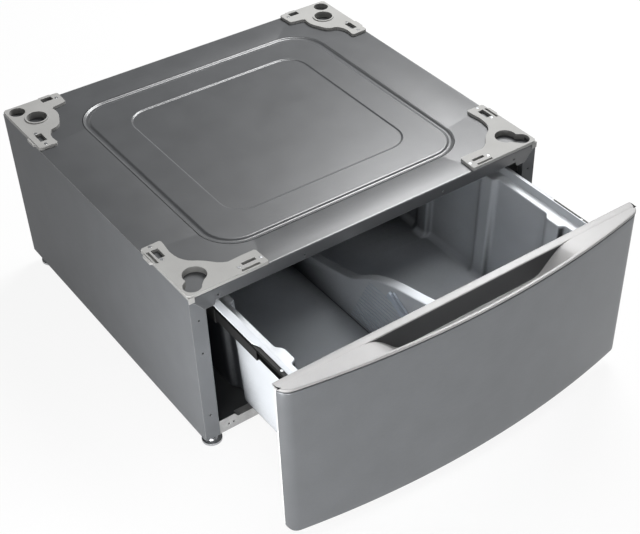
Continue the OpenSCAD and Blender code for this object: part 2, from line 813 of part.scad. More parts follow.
module through(r, x, y, rise) {
  translate([x, y, body_h - seat_deep - overrun])
    cylinder(r = r, h = seat_deep + bracket_h + rise + 2 * overrun, $fn = fine);
}

module front_bracket() {
  difference() {
    union() {
      translate([0, 0, body_h]) linear_extrude(bracket_h)
        polygon([for (p = front_outline_shares) [p[0] * bracket_l, p[1] * bracket_l]]);
      translate([0, 0, body_h - seat_deep]) linear_extrude(seat_deep + bracket_h / 2)
        front_seat(-seat_gap);
      bar(0, corner_tab, -corner_tab_t, 0, body_h - corner_tab_h, bracket_top - bracket_skin);
      bar(0, corner_tab, -corner_tab_t, corner_tab, body_h, bracket_top - bracket_skin);
      translate([0, bracket_l - window_end - window_l / 2, 0]) grip(grip_l);
    }
    through(key_r, key_x, key_y, 0);
    through(key_small_r, key_small, key_small, 0);
    translate([key_small, key_small, body_h - seat_deep - overrun]) rotate([0, 0, 45])
      translate([0, neck_step - key_small_r, 0])
        cube([key_r, 2 * (key_small_r - neck_step), seat_deep + bracket_h + 2 * overrun]);
    bar(window_in, window_in + window_w, bracket_l - window_end - window_l,
      bracket_l - window_end, body_h - overrun, bracket_top + overrun);
    bar(bracket_l - window_end - window_l, bracket_l - window_end, window_in + clip_w,
      window_in + clip_w + window_w / 2, body_h - overrun, bracket_top + overrun);
    bar(bracket_l - window_end - clip_l, bracket_l - window_end, clip_t, clip_t + clip_w,
      body_h + clip_rise, bracket_top + overrun);
    bar(clip_t, clip_t + clip_w, bracket_l - window_end - clip_l, bracket_l - window_end,
      body_h + clip_rise, bracket_top + overrun);
    for (k = [0, 1]) {
      x = key_x + key_r + 3 * bracket_skin + (window_w + clip_w) * k;
      bar(x, x + window_w, 3 * clip_w, 2 * clip_w + window_w + bracket_skin,
        body_h - overrun, bracket_top - bracket_skin);
    }
    bracket_holes(front_screw_shares);
  }
}

module rear_bracket() {
  difference() {
    union() {
      translate([0, 0, body_h]) linear_extrude(bracket_h)
        polygon([for (p = rear_outline_shares) [p[0] * bracket_l, p[1] * bracket_l]]);
      translate([0, 0, body_h - seat_deep]) linear_extrude(seat_deep + bracket_h / 2)
        rear_seat(-seat_gap);
      translate([inboard_x, inboard_y, body_h])
        cylinder(r = inboard_bore_r + collar_w, h = bracket_h + collar_h, $fn = fine);
      translate([0, bracket_l - window_end - window_l / 2, 0]) grip(grip_l);
      translate([bracket_l * rear_window_shares[0] + window_in, 0, 0]) rotate([0, 0, 90])
        grip(grip_l);
    }
    through(inboard_bore_r, inboard_x, inboard_y, collar_h);
    through(corner_bore_r, corner_bore, corner_bore, 0);
    bar(window_in, window_in + window_w, bracket_l - window_end - window_l,
      bracket_l - window_end, body_h - overrun, bracket_top + overrun);
    bar(bracket_l * rear_window_shares[0], bracket_l * rear_window_shares[1],
      clip_t + clip_w / 2, window_in + window_w / 2, body_h - overrun, bracket_top + overrun);
    bracket_holes(rear_screw_shares);
  }
}

module bracket_front_left() {
  color("gainsboro") place() translate([-half_w, 0, 0]) front_bracket();
}

module bracket_front_right() {
  color("gainsboro") place() mirror([1, 0, 0]) translate([-half_w, 0, 0]) front_bracket();
}

module bracket_rear_left() {
  color("gainsboro") place() translate([-half_w, body_d, 0]) mirror([0, 1, 0]) rear_bracket();
}

module bracket_rear_right() {
  color("gainsboro") place() mirror([1, 0, 0]) translate([-half_w, body_d, 0])
    mirror([0, 1, 0]) rear_bracket();
}

module bracket_screw(x, y) {
  translate([x, y, body_h - sheet]) cylinder(r = screw_r, h = sheet + bracket_h, $fn = fine);
  translate([x, y, bracket_top - screw_head_h]) cylinder(r = small_head_r, h = screw_head_h,
    $fn = fine);
}

module bracket_screws() {
  color("silver") place() both() {
    translate([-half_w, 0, 0]) for (p = front_screw_shares)
      bracket_screw(p[0] * bracket_l, p[1] * bracket_l);
    translate([-half_w, body_d, 0]) for (p = rear_screw_shares)
      bracket_screw(p[0] * bracket_l, -p[1] * bracket_l);
  }
}

// Slides, drawn at the right side with depths from the drawer side outward

module channel(t0, t1, reach, half, thick, y0, l) {
  x0 = slide_x + t0;
  x1 = slide_x + t1;
  bar(min(x0, x1), max(x0, x1), y0, y0 + l, slide_z - half, slide_z + half);
  for (z = [slide_z - half, slide_z + half - thick])
    bar(min(slide_x + reach, x0), max(slide_x + reach, x1), y0, y0 + l, z, z + thick);
}

module slide_outer() {
  difference() {
    channel(outer_t0, slide_depth, outer_edge, outer_half, slide_t, outer_y0, outer_l);
    support_rivets_at() translate([-plate - slide_depth, 0, 0]) rotate([0, 90, 0])
      cylinder(r = rivet_r + rivet_gap, h = 2 * slide_depth, $fn = fine);
  }
}

module slide_middle() {
  channel(middle_t0, middle_t0 + slide_t, middle_edge, middle_half, slide_t, middle_y0,
    middle_l);
}

module slide_inner() {
  difference() {
    channel(0, slide_t, inner_reach, inner_half, slide_t, inner_y0, inner_l);
    rail_rivets_at() translate([-overrun, 0, 0]) rotate([0, 90, 0])
      cylinder(r = rivet_r + rivet_gap, h = slide_t + plate + 2 * overrun, $fn = fine);
  }
}

module ball_rows(t, z) {
  for (sz = [-1, 1]) for (k = [0 : ball_count - 1])
    translate([slide_x + t, cage_y0 + cage_l * (k + middle_share) / ball_count,
      slide_z + sz * z]) children();
}

module cage(t0, reach, z) {
  difference() {
    channel(t0, t0 + cage_t, reach, z + cage_t / 2, cage_t, cage_y0, cage_l);
    ball_rows((t0 + reach) / 2, z) translate([0, 0, -overrun / 2])
      cylinder(r = ball_r + ball_gap, h = overrun, $fn = fine);
  }
}

module balls(t0, reach, z) {
  ball_rows((t0 + reach) / 2, z) sphere(r = ball_r, $fn = fine);
}

module slide_outer_right() {
  color("black") place() slide_outer();
}

module slide_outer_left() {
  color("black") place() mirror([1, 0, 0]) slide_outer();
}

module slide_middle_right() {
  color("black") middle_place() slide_middle();
}

module slide_middle_left() {
  color("black") middle_place() mirror([1, 0, 0]) slide_middle();
}

module slide_inner_right() {
  color("black") drawer_place() slide_inner();
}

module slide_inner_left() {
  color("black") drawer_place() mirror([1, 0, 0]) slide_inner();
}

module cage_outer_right() {
  color("silver") outer_cage_place() cage(outer_cage_t0, outer_cage_edge, outer_ball_z);
}

module cage_outer_left() {
  color("silver") outer_cage_place() mirror([1, 0, 0])
    cage(outer_cage_t0, outer_cage_edge, outer_ball_z);
}

module cage_inner_right() {
  color("silver") inner_cage_place() cage(inner_cage_t0, inner_cage_edge, inner_ball_z);
}

module cage_inner_left() {
  color("silver") inner_cage_place() mirror([1, 0, 0])
    cage(inner_cage_t0, inner_cage_edge, inner_ball_z);
}

module balls_outer_right() {
  color("silver") outer_cage_place() balls(outer_cage_t0, outer_cage_edge, outer_ball_z);
}

module balls_outer_left() {
  color("silver") outer_cage_place() mirror([1, 0, 0])
    balls(outer_cage_t0, outer_cage_edge, outer_ball_z);
}

module balls_inner_right() {
  color("silver") inner_cage_place() balls(inner_cage_t0, inner_cage_edge, inner_ball_z);
}

module balls_inner_left() {
  color("silver") inner_cage_place() mirror([1, 0, 0])
    balls(inner_cage_t0, inner_cage_edge, inner_ball_z);
}

// Supports between the slides and the side panels

module support_rivets_at() {
  for (y = [support_y0, support_y0 + support_pitch]) for (k = [1, 2])
    translate([slide_x + slide_depth, y + support_w * k / 3, slide_z]) children();
}

module slide_support() {
  x0 = slide_x + slide_depth;
  x1 = half_w - sheet;
  difference() {
    for (y = [support_y0, support_y0 + support_pitch])
      translate([0, y, slide_z - support_h / 2]) {
        bar(x0, x0 + plate, 0, support_w, 0, support_h);
        for (e = [0, support_w - plate]) bar(x0, x1, e, e + plate, 0, support_h);
        bar(x1 - plate, x1, -support_foot, plate, 0, support_h);
        bar(x1 - plate, x1, support_w - plate, support_w + support_foot, 0, support_h);
      }
    support_rivets_at() translate([-overrun, 0, 0]) rotate([0, 90, 0])
      cylinder(r = rivet_r + rivet_gap, h = plate + 2 * overrun, $fn = fine);
  }
}

module slide_support_right() {
  color("gray") place() slide_support();
}

module slide_support_left() {
  color("gray") place() mirror([1, 0, 0]) slide_support();
}

module support_rivets() {
  color("silver") place() both() support_rivets_at() {
    translate([-slide_t, 0, 0]) rotate([0, 90, 0])
      cylinder(r = rivet_r, h = slide_t + plate, $fn = fine);
    translate([plate, 0, 0]) rotate([0, 90, 0])
      cylinder(r = rivet_head_r, h = rivet_head, $fn = fine);
  }
}

// Drawer rails and brackets, closed drawer, right side

rail_x = slide_x - plate;
rail_z0 = slide_z - outer_half + 2 * slide_t;
shelf_z = slide_z + outer_half + shelf_gap;

module rail_rivets_at() {
  for (share = rail_rivet_shares)
    translate([rail_x, inner_y0 + inner_l * share, slide_z]) children();
}

module drawer_rail() {
  difference() {
    union() {
      bar(rail_x, slide_x, narrow_l, inner_y0 + inner_l, rail_z0, ledge_low);
      bar(tub_x + 2 * wall, slide_x, narrow_l, inner_y0 + inner_l, ledge_low - plate,
        ledge_low);
    }
    rail_rivets_at() translate([-overrun, 0, 0]) rotate([0, 90, 0])
      cylinder(r = rivet_r + rivet_gap, h = plate + 2 * overrun, $fn = fine);
  }
}

module shelf_rivets_at() {
  for (share = shelf_rivet_shares)
    translate([slide_x + shelf_w * middle_share, narrow_l * share, shelf_z]) children();
}

module slide_bracket() {
  difference() {
    union() {
      bar(rail_x, slide_x, front_back, narrow_l, rail_z0, shelf_z + plate);
      bar(rail_x, slide_x + shelf_w, inner_y0, narrow_l, shelf_z, shelf_z + plate);
      bar(rail_x - tab_w, slide_x, front_back, front_back + plate, rail_z0, ledge_low - plate);
    }
    rail_rivets_at() translate([-overrun, 0, 0]) rotate([0, 90, 0])
      cylinder(r = rivet_r + rivet_gap, h = plate + 2 * overrun, $fn = fine);
    shelf_rivets_at() translate([0, 0, -overrun])
      cylinder(r = rivet_r + rivet_gap, h = plate + 2 * overrun, $fn = fine);
  }
}

module drawer_rail_right() {
  color("black") drawer_place() drawer_rail();
}

module drawer_rail_left() {
  color("black") drawer_place() mirror([1, 0, 0]) drawer_rail();
}

module slide_bracket_right() {
  color("black") drawer_place() slide_bracket();
}

module slide_bracket_left() {
  color("black") drawer_place() mirror([1, 0, 0]) slide_bracket();
}

module drawer_rivets() {
  color("silver") drawer_place() both() {
    rail_rivets_at() translate([-rivet_head, 0, 0]) rotate([0, 90, 0]) {
      cylinder(r = rivet_head_r, h = rivet_head, $fn = fine);
      cylinder(r = rivet_r, h = rivet_head + plate + slide_t, $fn = fine);
    }
    shelf_rivets_at() {
      translate([0, 0, plate]) cylinder(r = rivet_head_r - rivet_head, h = rivet_head,
        $fn = fine);
      cylinder(r = rivet_r, h = plate, $fn = fine);
    }
  }
}

// Tub, closed drawer

module half_wall(r, z0, z1, rr) {
  lean = 1 / sqrt(1 + pow(draft_share, 2));
  zc = z0 + rr;
  rc = r - draft_share * (z1 - zc) - rr / lean;
  polygon([
    [0, z0], [rc, z0], [rc + rr * lean, zc - rr * draft_share * lean], [r, z1], [0, z1]]);
  intersection() {
    translate([rc, zc]) circle(r = rr, $fn = fine);
    translate([rc, z0]) square([rr, rr]);
  }
}

module drafted(x, y0, y1, r, z0, z1, rr) {
  xc = x - r;
  upright(y0 + r, y1 - r) {
    for (m = [0, 1]) mirror([m, 0]) translate([xc, 0]) half_wall(r, z0, z1, rr);
    translate([-xc, z0]) square([2 * xc, z1 - z0]);
  }
  translate([-xc, 0, 0]) rotate([90, 0, 90]) linear_extrude(2 * xc) {
    translate([y1 - r, 0]) half_wall(r, z0, z1, rr);
    translate([y0 + r, 0]) mirror([1, 0]) half_wall(r, z0, z1, rr);
    translate([y0 + r, z0]) square([y1 - y0 - 2 * r, z1 - z0]);
  }
  for (sx = [-1, 1]) for (y = [y0 + r, y1 - r])
    translate([sx * xc, y, 0]) rotate_extrude($fn = fine) half_wall(r, z0, z1, rr);
}

module rim_section() {
  x1 = ledge_w + lip_w;
  z1 = ledge_z + rim_h;
  fall_share = lip_fall / (lip_w - wall / 2);
  polygon([
    [-draft_share * wall, ledge_low], [0, ledge_z], [ledge_w, ledge_z], [ledge_w, z1 - wall / 2],
    [ledge_w + wall / 2, z1], [x1, z1 - lip_fall], [x1, z1 - lip_fall - lip_edge],
    [x1 - wall, z1 - lip_fall - lip_edge],
    [x1 - wall, z1 - lip_fall + wall * fall_share - wall],
    [ledge_w + wall, z1 - wall / 2 * fall_share - wall], [ledge_w + wall, ledge_low]]);
}

module rim() {
  both() {
    translate([tub_x, 0, 0]) upright_right(tub_y0, tub_in_y1 - tub_in_r);
    translate([tub_x - tub_in_r, tub_in_y1 - tub_in_r, 0]) rotate_extrude(angle = 90, $fn = fine)
      translate([tub_in_r, 0]) rim_section();
  }
  translate([-tub_x + tub_in_r, tub_in_y1, 0]) rotate([90, 0, 90])
    linear_extrude(2 * (tub_x - tub_in_r)) rim_section();
}

module upright_right(y0, y1) {
  upright(y0, y1) rim_section();
}

module pilasters(inset, drop) {
  both() for (k = [0, 1, 2])
    translate([tub_x, pilaster_y + pilaster_pitch * k, ledge_z - drop])
      rotate([0, atan(draft_share), 0]) translate([0, 0, -ledge_z])
        linear_extrude(ledge_z + (drop > 0 ? 0 : overrun))
          polygon([for (s = pilaster_shares)
            [inset - s[1] * pilaster_d, inset + s[0] * (pilaster_l - 2 * inset)]]);
}

module cavity(top) {
  drafted(tub_x + draft_share * top, tub_in_y0 - draft_share * top,
    tub_in_y1 + draft_share * top, tub_in_r + draft_share * top, tub_z + tub_floor,
    ledge_z + top, tub_round - wall);
}

module slots() {
  for (k = [1, 2, 3])
    bar(-slot_w / 2, slot_w, tub_l * k / 4 - slot_l, tub_l * k / 4, tub_z - overrun,
      tub_z + tub_floor + overrun);
}

module front_screws_at() {
  for (share = front_screw_x_shares) both()
    translate([half_w * share, 0, ledge_z + rim_h / 2]) children();
}

module drawer_tub() {
  color("white") drawer_place() difference() {
    union() {
      difference() {
        drafted(tub_x + wall, tub_y0, tub_in_y1 + wall, tub_r, tub_z, ledge_z - wall / 2,
          tub_round);
        cavity(overrun);
      }
      intersection() {
        pilasters(0, 0);
        cavity(0);
      }
      rim();
      bar(-tub_x - ledge_w - wall, tub_x + ledge_w + wall, tub_y0, tub_in_y0,
        ledge_low - tub_round, ledge_z + rim_h - wall);
    }
    pilasters(wall, 2 * wall);
    both() bar(tub_x + ledge_w + lip_w - narrow_w, half_w, -overrun, narrow_l,
      ledge_z, ledge_z + rim_h);
    slots();
    front_screws_at() translate([0, -overrun, 0]) rotate([-90, 0, 0])
      cylinder(r = screw_r + rivet_gap, h = wall + 2 * overrun, $fn = fine);
  }
}

// Divider, closed drawer

module divider_side(inset, top) {
  z0 = tub_z + tub_floor + divider_gap;
  zr = z0 + tub_round;
  y0 = tub_in_y0 + divider_gap + draft_share * (ledge_z - zr) + inset;
  y1 = tub_in_y1 - divider_gap - draft_share * (ledge_z - zr) - inset;
  y0t = tub_in_y0 + divider_gap + draft_share * (ledge_z - divider_z) + wall + inset;
  span = y1 - y0t;
  polygon(concat(
    [[y1, zr], [y1 - tub_round, z0 - top], [y0 + tub_round, z0 - top], [y0, zr]],
    [for (s = divider_top_shares) [y0t + span * s[0], (divider_z) * s[1] - inset]]));
}

module divider() {
  color("white") drawer_place() union() {
    difference() {
      rotate([90, 0, 90]) linear_extrude(divider_w) divider_side(0, 0);
      translate([divider_wall, 0, 0]) rotate([90, 0, 90])
        linear_extrude(divider_w - 2 * divider_wall) divider_side(divider_wall, overrun);
    }
    for (k = [0 : rib_count - 1])
      bar(-rib_d, divider_wall / 2, rib_y0, rib_y0 + rib_l, rib_z0 + rib_pitch * k,
        rib_z0 + rib_pitch * k + rib_h);
    for (k = [0, 1])
      translate([-bar_d, bar_y + bar_step * k, bar_z + bar_step * k]) rotate([bar_tilt, 0, 0])
        cube([bar_d + divider_wall / 2, bar_l, bar_h]);
    for (k = [1, 2, 3])
      bar(divider_gap, divider_wall + divider_gap, tub_l * k / 4 - slot_l + divider_gap,
        tub_l * k / 4 - divider_gap, tub_z + divider_gap, tub_z + tub_round);
  }
}

// Drawer front, closed drawer

module front_plan(grow, back) {
  r1 = bow_r + grow;
  r2 = front_r + grow;
  x = half_w - front_r;
  yb = front_back - front_d + bow_r;
  y = yb - sqrt(pow(r1 - r2, 2) - pow(x, 2));
  xt = x * r1 / (r1 - r2);
  intersection() {
    translate([0, yb]) circle(r = r1, $fn = 8 * fine);
    translate([-xt, yb - r1 - overrun]) square([2 * xt, back - yb + r1 + overrun]);
  }
  intersection() {
    union() {
      for (sx = [-1, 1]) translate([sx * x, y]) circle(r = r2, $fn = fine);
      translate([-x - r2, y]) square([2 * (x + r2), back - y + front_r]);
    }
    translate([-body_w, back - body_w]) square([2 * body_w, body_w]);
  }
}

module front_low(inset) {
  x = half_w - low_r;
  r = low_r - inset;
  upright(-body_d, body_d) {
    for (sx = [-1, 1]) translate([sx * x, front_z0 + low_r]) circle(r = r, $fn = fine);
    translate([-x, front_z0 + inset]) square([2 * x, low_r]);
    translate([-x - r, front_z0 + low_r]) square([2 * (x + r), body_h]);
  }
}

module layer(z0, z1) {
  translate([0, 0, z0]) linear_extrude(z1 - z0) children();
}

module front_skin() {
  back = front_back - skin_back;
  color("silver") drawer_place() difference() {
    intersection() {
      layer(front_z0, skin_z1) front_plan(0, back);
      front_low(0);
    }
    intersection() {
      layer(front_z0 + skin, skin_z1 - skin) front_plan(-skin, back + overrun);
      front_low(skin);
    }
    layer(front_z0 - overrun, skin_z1 + overrun) front_plan(-skin_return, back + overrun);
    intersection() {
      layer(skin_z1 - 2 * skin, skin_z1 + overrun) front_plan(-skin, back + overrun);
      bar(-pocket_x - skin_return, pocket_x + skin_return, -body_d, 0, 0, body_h);
    }
  }
}

module front_backing() {
  x = half_w - backing_gap;
  z0 = front_z0 + backing_gap;
  color("whitesmoke") drawer_place() difference() {
    intersection() {
      union() {
        bar(-x, x, front_back - backing_t, front_back, z0, trim_z0);
        both() bar(x - backing_t, x, front_back - skin_back - backing_rib, front_back, z0,
          skin_z1 - 2 * skin);
        bar(-x, x, front_back - skin_back - backing_rib, front_back, z0, z0 + backing_t);
        for (k = [1 : 6]) both()
          bar(x * k / 7 - backing_t / 2, x * k / 7 + backing_t / 2,
            front_back - backing_t - backing_rib, front_back, z0, skin_z1 - 2 * skin);
      }
      union() {
        layer(0, skin_z1) front_plan(-skin - divider_gap, 0);
        bar(-x, x, front_back - backing_t, front_back, z0, trim_z0);
      }
    }
    front_screws_at() translate([0, front_back - backing_t - overrun, 0]) rotate([-90, 0, 0])
      cylinder(r = screw_r + rivet_gap, h = backing_t + 2 * overrun, $fn = fine);
  }
}

module pocket_section(grow, top) {
  polygon(concat(
    [for (s = pocket_end_shares) [-pocket_x + pocket_slope * s[0],
      trim_z1 - pocket_z * s[1] - grow]],
    [for (k = [len(pocket_end_shares) - 1 : -1 : 0])
      [pocket_x - pocket_slope * pocket_end_shares[k][0],
        trim_z1 - pocket_z * pocket_end_shares[k][1] - grow]],
    [[pocket_x, trim_z1 + top], [-pocket_x, trim_z1 + top]]));
}

module handle_trim() {
  back = front_back - pocket_back;
  color("silver") drawer_place() difference() {
    union() {
      difference() {
        layer(trim_z0, trim_z1) translate([0, -trim_proud]) front_plan(0, front_back + trim_proud);
        layer(trim_z0 - overrun, trim_z1 - trim_t) translate([0, -trim_proud])
          front_plan(-trim_t, front_back + trim_proud - trim_t);
      }
      intersection() {
        upright(-body_d, back) pocket_section(trim_t, -trim_t / 2);
        layer(0, trim_z1) translate([0, -trim_proud])
          front_plan(trim_t - pocket_lip, front_back);
      }
    }
    intersection() {
      upright(-body_d, back) pocket_section(0, overrun);
      layer(0, trim_z1 + overrun) translate([0, -trim_proud]) front_plan(-pocket_lip, front_back);
    }
  }
}

module pocket_back() {
  back = front_back - pocket_back;
  color("black") drawer_place() upright(back, back + pocket_plate)
    pocket_section(trim_t, -trim_t);
}

module front_screws() {
  color("silver") drawer_place() front_screws_at() {
    translate([0, front_back - backing_t - overrun, 0]) rotate([-90, 0, 0])
      cylinder(r = screw_r, h = tub_in_y0 - front_back + backing_t + overrun, $fn = fine);
    translate([0, tub_in_y0, 0]) rotate([-90, 0, 0])
      cylinder(r = screw_head_r, h = screw_head_h, $fn = fine);
  }
}

module bumpers() {
  color("black") drawer_place() both() for (z = [bumper_z, body_h - bumper_z])
    translate([half_w - bumper_in, front_back, z]) rotate([-90, 0, 0])
      cylinder(r = bumper_r, h = bumper_h, $fn = fine);
}

side_panel_left();
side_panel_right();
rear_panel();
top_plate();
base_pan();
front_rail();
nut_plates();
foot_front_left();
foot_front_right();
foot_rear_left();
foot_rear_right();
pad_front_left();
pad_front_right();
pad_rear_left();
pad_rear_right();
lock_nuts();
bracket_front_left();
bracket_front_right();
bracket_rear_left();
bracket_rear_right();
bracket_screws();
slide_outer_left();
slide_outer_right();
slide_middle_left();
slide_middle_right();
slide_inner_left();
slide_inner_right();
cage_outer_left();
cage_outer_right();
cage_inner_left();
cage_inner_right();
balls_outer_left();
balls_outer_right();
balls_inner_left();
balls_inner_right();
slide_support_left();
slide_support_right();
support_rivets();
drawer_rail_left();
drawer_rail_right();
slide_bracket_left();
slide_bracket_right();
drawer_rivets();
drawer_tub();
divider();
front_skin();
front_backing();
handle_trim();
pocket_back();
front_screws();
bumpers();
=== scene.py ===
import json
import math

import bmesh
import bpy
from mathutils import Matrix, Vector


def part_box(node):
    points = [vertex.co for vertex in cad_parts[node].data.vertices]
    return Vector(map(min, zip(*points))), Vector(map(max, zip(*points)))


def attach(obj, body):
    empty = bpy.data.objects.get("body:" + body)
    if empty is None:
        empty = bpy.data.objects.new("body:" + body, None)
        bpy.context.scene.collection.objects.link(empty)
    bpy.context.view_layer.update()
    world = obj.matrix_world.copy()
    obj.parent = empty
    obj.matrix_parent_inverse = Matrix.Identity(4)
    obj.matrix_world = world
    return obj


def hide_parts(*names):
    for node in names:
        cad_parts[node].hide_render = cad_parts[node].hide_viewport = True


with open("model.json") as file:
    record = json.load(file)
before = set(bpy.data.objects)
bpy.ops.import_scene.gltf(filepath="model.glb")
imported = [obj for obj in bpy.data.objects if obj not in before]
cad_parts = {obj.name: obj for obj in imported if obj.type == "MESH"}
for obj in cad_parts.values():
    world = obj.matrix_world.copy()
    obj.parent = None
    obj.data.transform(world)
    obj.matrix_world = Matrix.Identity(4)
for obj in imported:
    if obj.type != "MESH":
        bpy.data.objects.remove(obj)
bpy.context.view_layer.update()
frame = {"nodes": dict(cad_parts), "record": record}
nodes = frame["nodes"]

# Millimetres in the cabinet's own frame: y back from the front flange, z up from its bottom
HALF_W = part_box("top_plate")[1].x * 1000
SHIFT_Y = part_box("top_plate")[0].y * 1000
FOOT_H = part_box("side_panel_left")[0].z * 1000
BODY_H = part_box("top_plate")[1].z * 1000 - FOOT_H
DRAWER_OUT = 216.0

# Pressed rings of the top as (half width, front, rear, corner radius), steps as (inset, height)
GROOVE = (249.0, 65.0, 561.0, 65.0)
GROOVE_STEPS = [
    (-1.2, 0), (-0.6, 0), (0, 0), (1, -0.2), (2, -0.8), (3, -1.55), (4, -2.2), (5, -2.4),
    (8, -2.4), (9, -2.2), (10, -1.55), (11, -0.8), (12, -0.2), (13, 0), (13.6, 0), (14.2, 0)]
FIELD = (180.5, 135.0, 495.0, 42.0)
FIELD_STEPS = [
    (-1.8, 0), (-1.2, 0), (-0.6, 0), (0.2, -0.2), (1, -0.75), (1.8, -1.35), (2.6, -1.6),
    (3.2, -1.6), (3.8, -1.6)]

# Drawer front, in the closed drawer's frame
FRONT_BACK = -2.0
FRONT_D = 59.5
BOW = 36.0
BOW_R = (HALF_W**2 + BOW**2) / (2 * BOW)
FRONT_R = 21.0
ARC_STEPS = 84
CORNER_STEPS = 10
TRIM_H = 4.6
TRIM_OVER = 2.4
TRIM_TOP = BODY_H + TRIM_OVER
REVEAL = 2.4
TRIM_CORNER = 3.5
TRIM_EDGE_R = 1.8
TRIM_REAR_R = 1.0
TRIM_LOW_R = 0.5
TRIM_FOLD = 3.0
TRIM_ARC_STEPS = 168
SKIN_BACK = 8.0
SKIN_T = 1.2
SKIN_FOLD = 9.0
SKIN_EDGE_R = 2.2
SKIN_STEPS = 24
PROUD = 0.6
FRONT_Z0 = 5.0
LOW_R = 9.0
POCKET_X = 204.0
POCKET_SLOPE = 84.0
POCKET_Z = 43.0
POCKET_Y = -16.0
POCKET_LIP = 6.0
POCKET_LIP_FLAT = 2.4
POCKET_REAR_H = 2.4
POCKET_EDGE_R = 1.2
POCKET_SWEEP_R = 10.0
POCKET_FLOOR_STEP = 2.0
SWEEP_SHARE = 0.5
LIP_SHARE = 0.55
POCKET_STEPS = 6
LEAST_R = 0.02
LEAST_STRIP = 0.01
ROUND_MID = 0.3

# Shape of the pocket's ends, as shares of the slope's length and of the depth
POCKET_CURVE = [
    (0, 0), (0.1, 0.012), (0.2, 0.045), (0.32, 0.125), (0.46, 0.32), (0.56, 0.5),
    (0.66, 0.69), (0.74, 0.84), (0.8, 0.92), (0.88, 0.975), (1, 1)]

# Tub, in the closed drawer's frame
TUB_X = 269.5
TUB_Y0 = -0.8
WALL = 2.4
TUB_IN_Y0 = TUB_Y0 + WALL
TUB_IN_L = 500.0
TUB_IN_Y1 = TUB_IN_Y0 + TUB_IN_L
TUB_IN_R = 29.6
TUB_Z = 30.0
FLOOR_Z = 33.0
LEDGE_Z = 250.0
LEDGE_W = 16.0
RIM_H = 15.2
LIP_W = 11.5
LIP_FALL = 5.0
DRAFT = 0.048
TUB_LOW_LEVEL = 60.0
TUB_ROUND = 15.0
FLOOR_STEPS = 8
LEDGE_FILLET = 2.0
FRONT_BAND = 15.0
LIP_CUT = 5.5
LIP_CUT_Y = 118.0
LIP_END = 3.0
RIM_FOOT = 2.0
LEAST_CORNER_R = 1.0
SIDE_STEPS = 24
TUB_CORNER_STEPS = 10
SPAN_STEPS = 12
PILASTERS = (58.0, 221.0, 384.0)
PILASTER_L = 50.0
PILASTER_D = 9.8

# Plan of a pilaster, as shares of its length and of its depth
PILASTER_PLAN = [
    (0, 0), (0.04, 0.03), (0.08, 0.12), (0.105, 0.3), (0.13, 0.55), (0.155, 0.8), (0.19, 0.95),
    (0.24, 1), (0.43, 1), (0.62, 1), (0.7, 0.96), (0.77, 0.82), (0.84, 0.5), (0.88, 0.28),
    (0.94, 0.08), (1, 0)]


def at(x, y, z):
    """A point of the cabinet's frame in millimetres, as metres in the part's frame."""
    return Vector((x, y + SHIFT_Y, z + FOOT_H)) / 1000


def at_drawer(x, y, z):
    """A point of the closed drawer's frame, at the place of the open drawer."""
    return at(x, y - DRAWER_OUT, z)


def table_value(table, x):
    """The table's value at x, on straight lines between its points."""
    for (x0, y0), (x1, y1) in zip(table, table[1:]):
        if x <= x1:
            return y0 + (y1 - y0) * (x - x0) / (x1 - x0)
    return table[-1][1]


def smooth_curve(points, steps):
    """A Catmull-Rom curve through the points, as a list of (x, y)."""
    ends = [points[0], *points, points[-1]]
    made = []
    for a, b, c, d in zip(ends, ends[1:], ends[2:], ends[3:]):
        for k in range(steps):
            t = k / steps
            made.append(tuple(
                0.5 * (2 * q + (r - p) * t + (2 * p - 5 * q + 4 * r - s) * t**2
                       + (3 * q - p - 3 * r + s) * t**3)
                for p, q, r, s in zip(a, b, c, d)))
    return [*made, tuple(points[-1])]


# Procedural materials, which share these values

GRAIN_SHARE = 0.45
TONE_RANGE = (0.32, 0.68)
GRAIN_DEPTH = 0.0004

# Cosine between face and rounded normal where an edge's tone starts and where it is full
EDGE_RANGE = (0.995, 0.85)
EDGE_SHARE = 0.7

# Openness of a place where the painted shade in hollows is full and where it ends
SHADE_OPENNESS_RANGE = (0.3, 0.56)

# Depths under the ledge in millimetres between which the painted shade fades out
SHADE_FADE_DEPTHS = (7.0, 1.0)


def larger(tree, first, second):
    """The larger of two node outputs."""
    node = tree.nodes.new("ShaderNodeMath")
    node.operation = "MAXIMUM"
    tree.links.new(first, node.inputs[0])
    tree.links.new(second, node.inputs[1])
    return node.outputs["Value"]


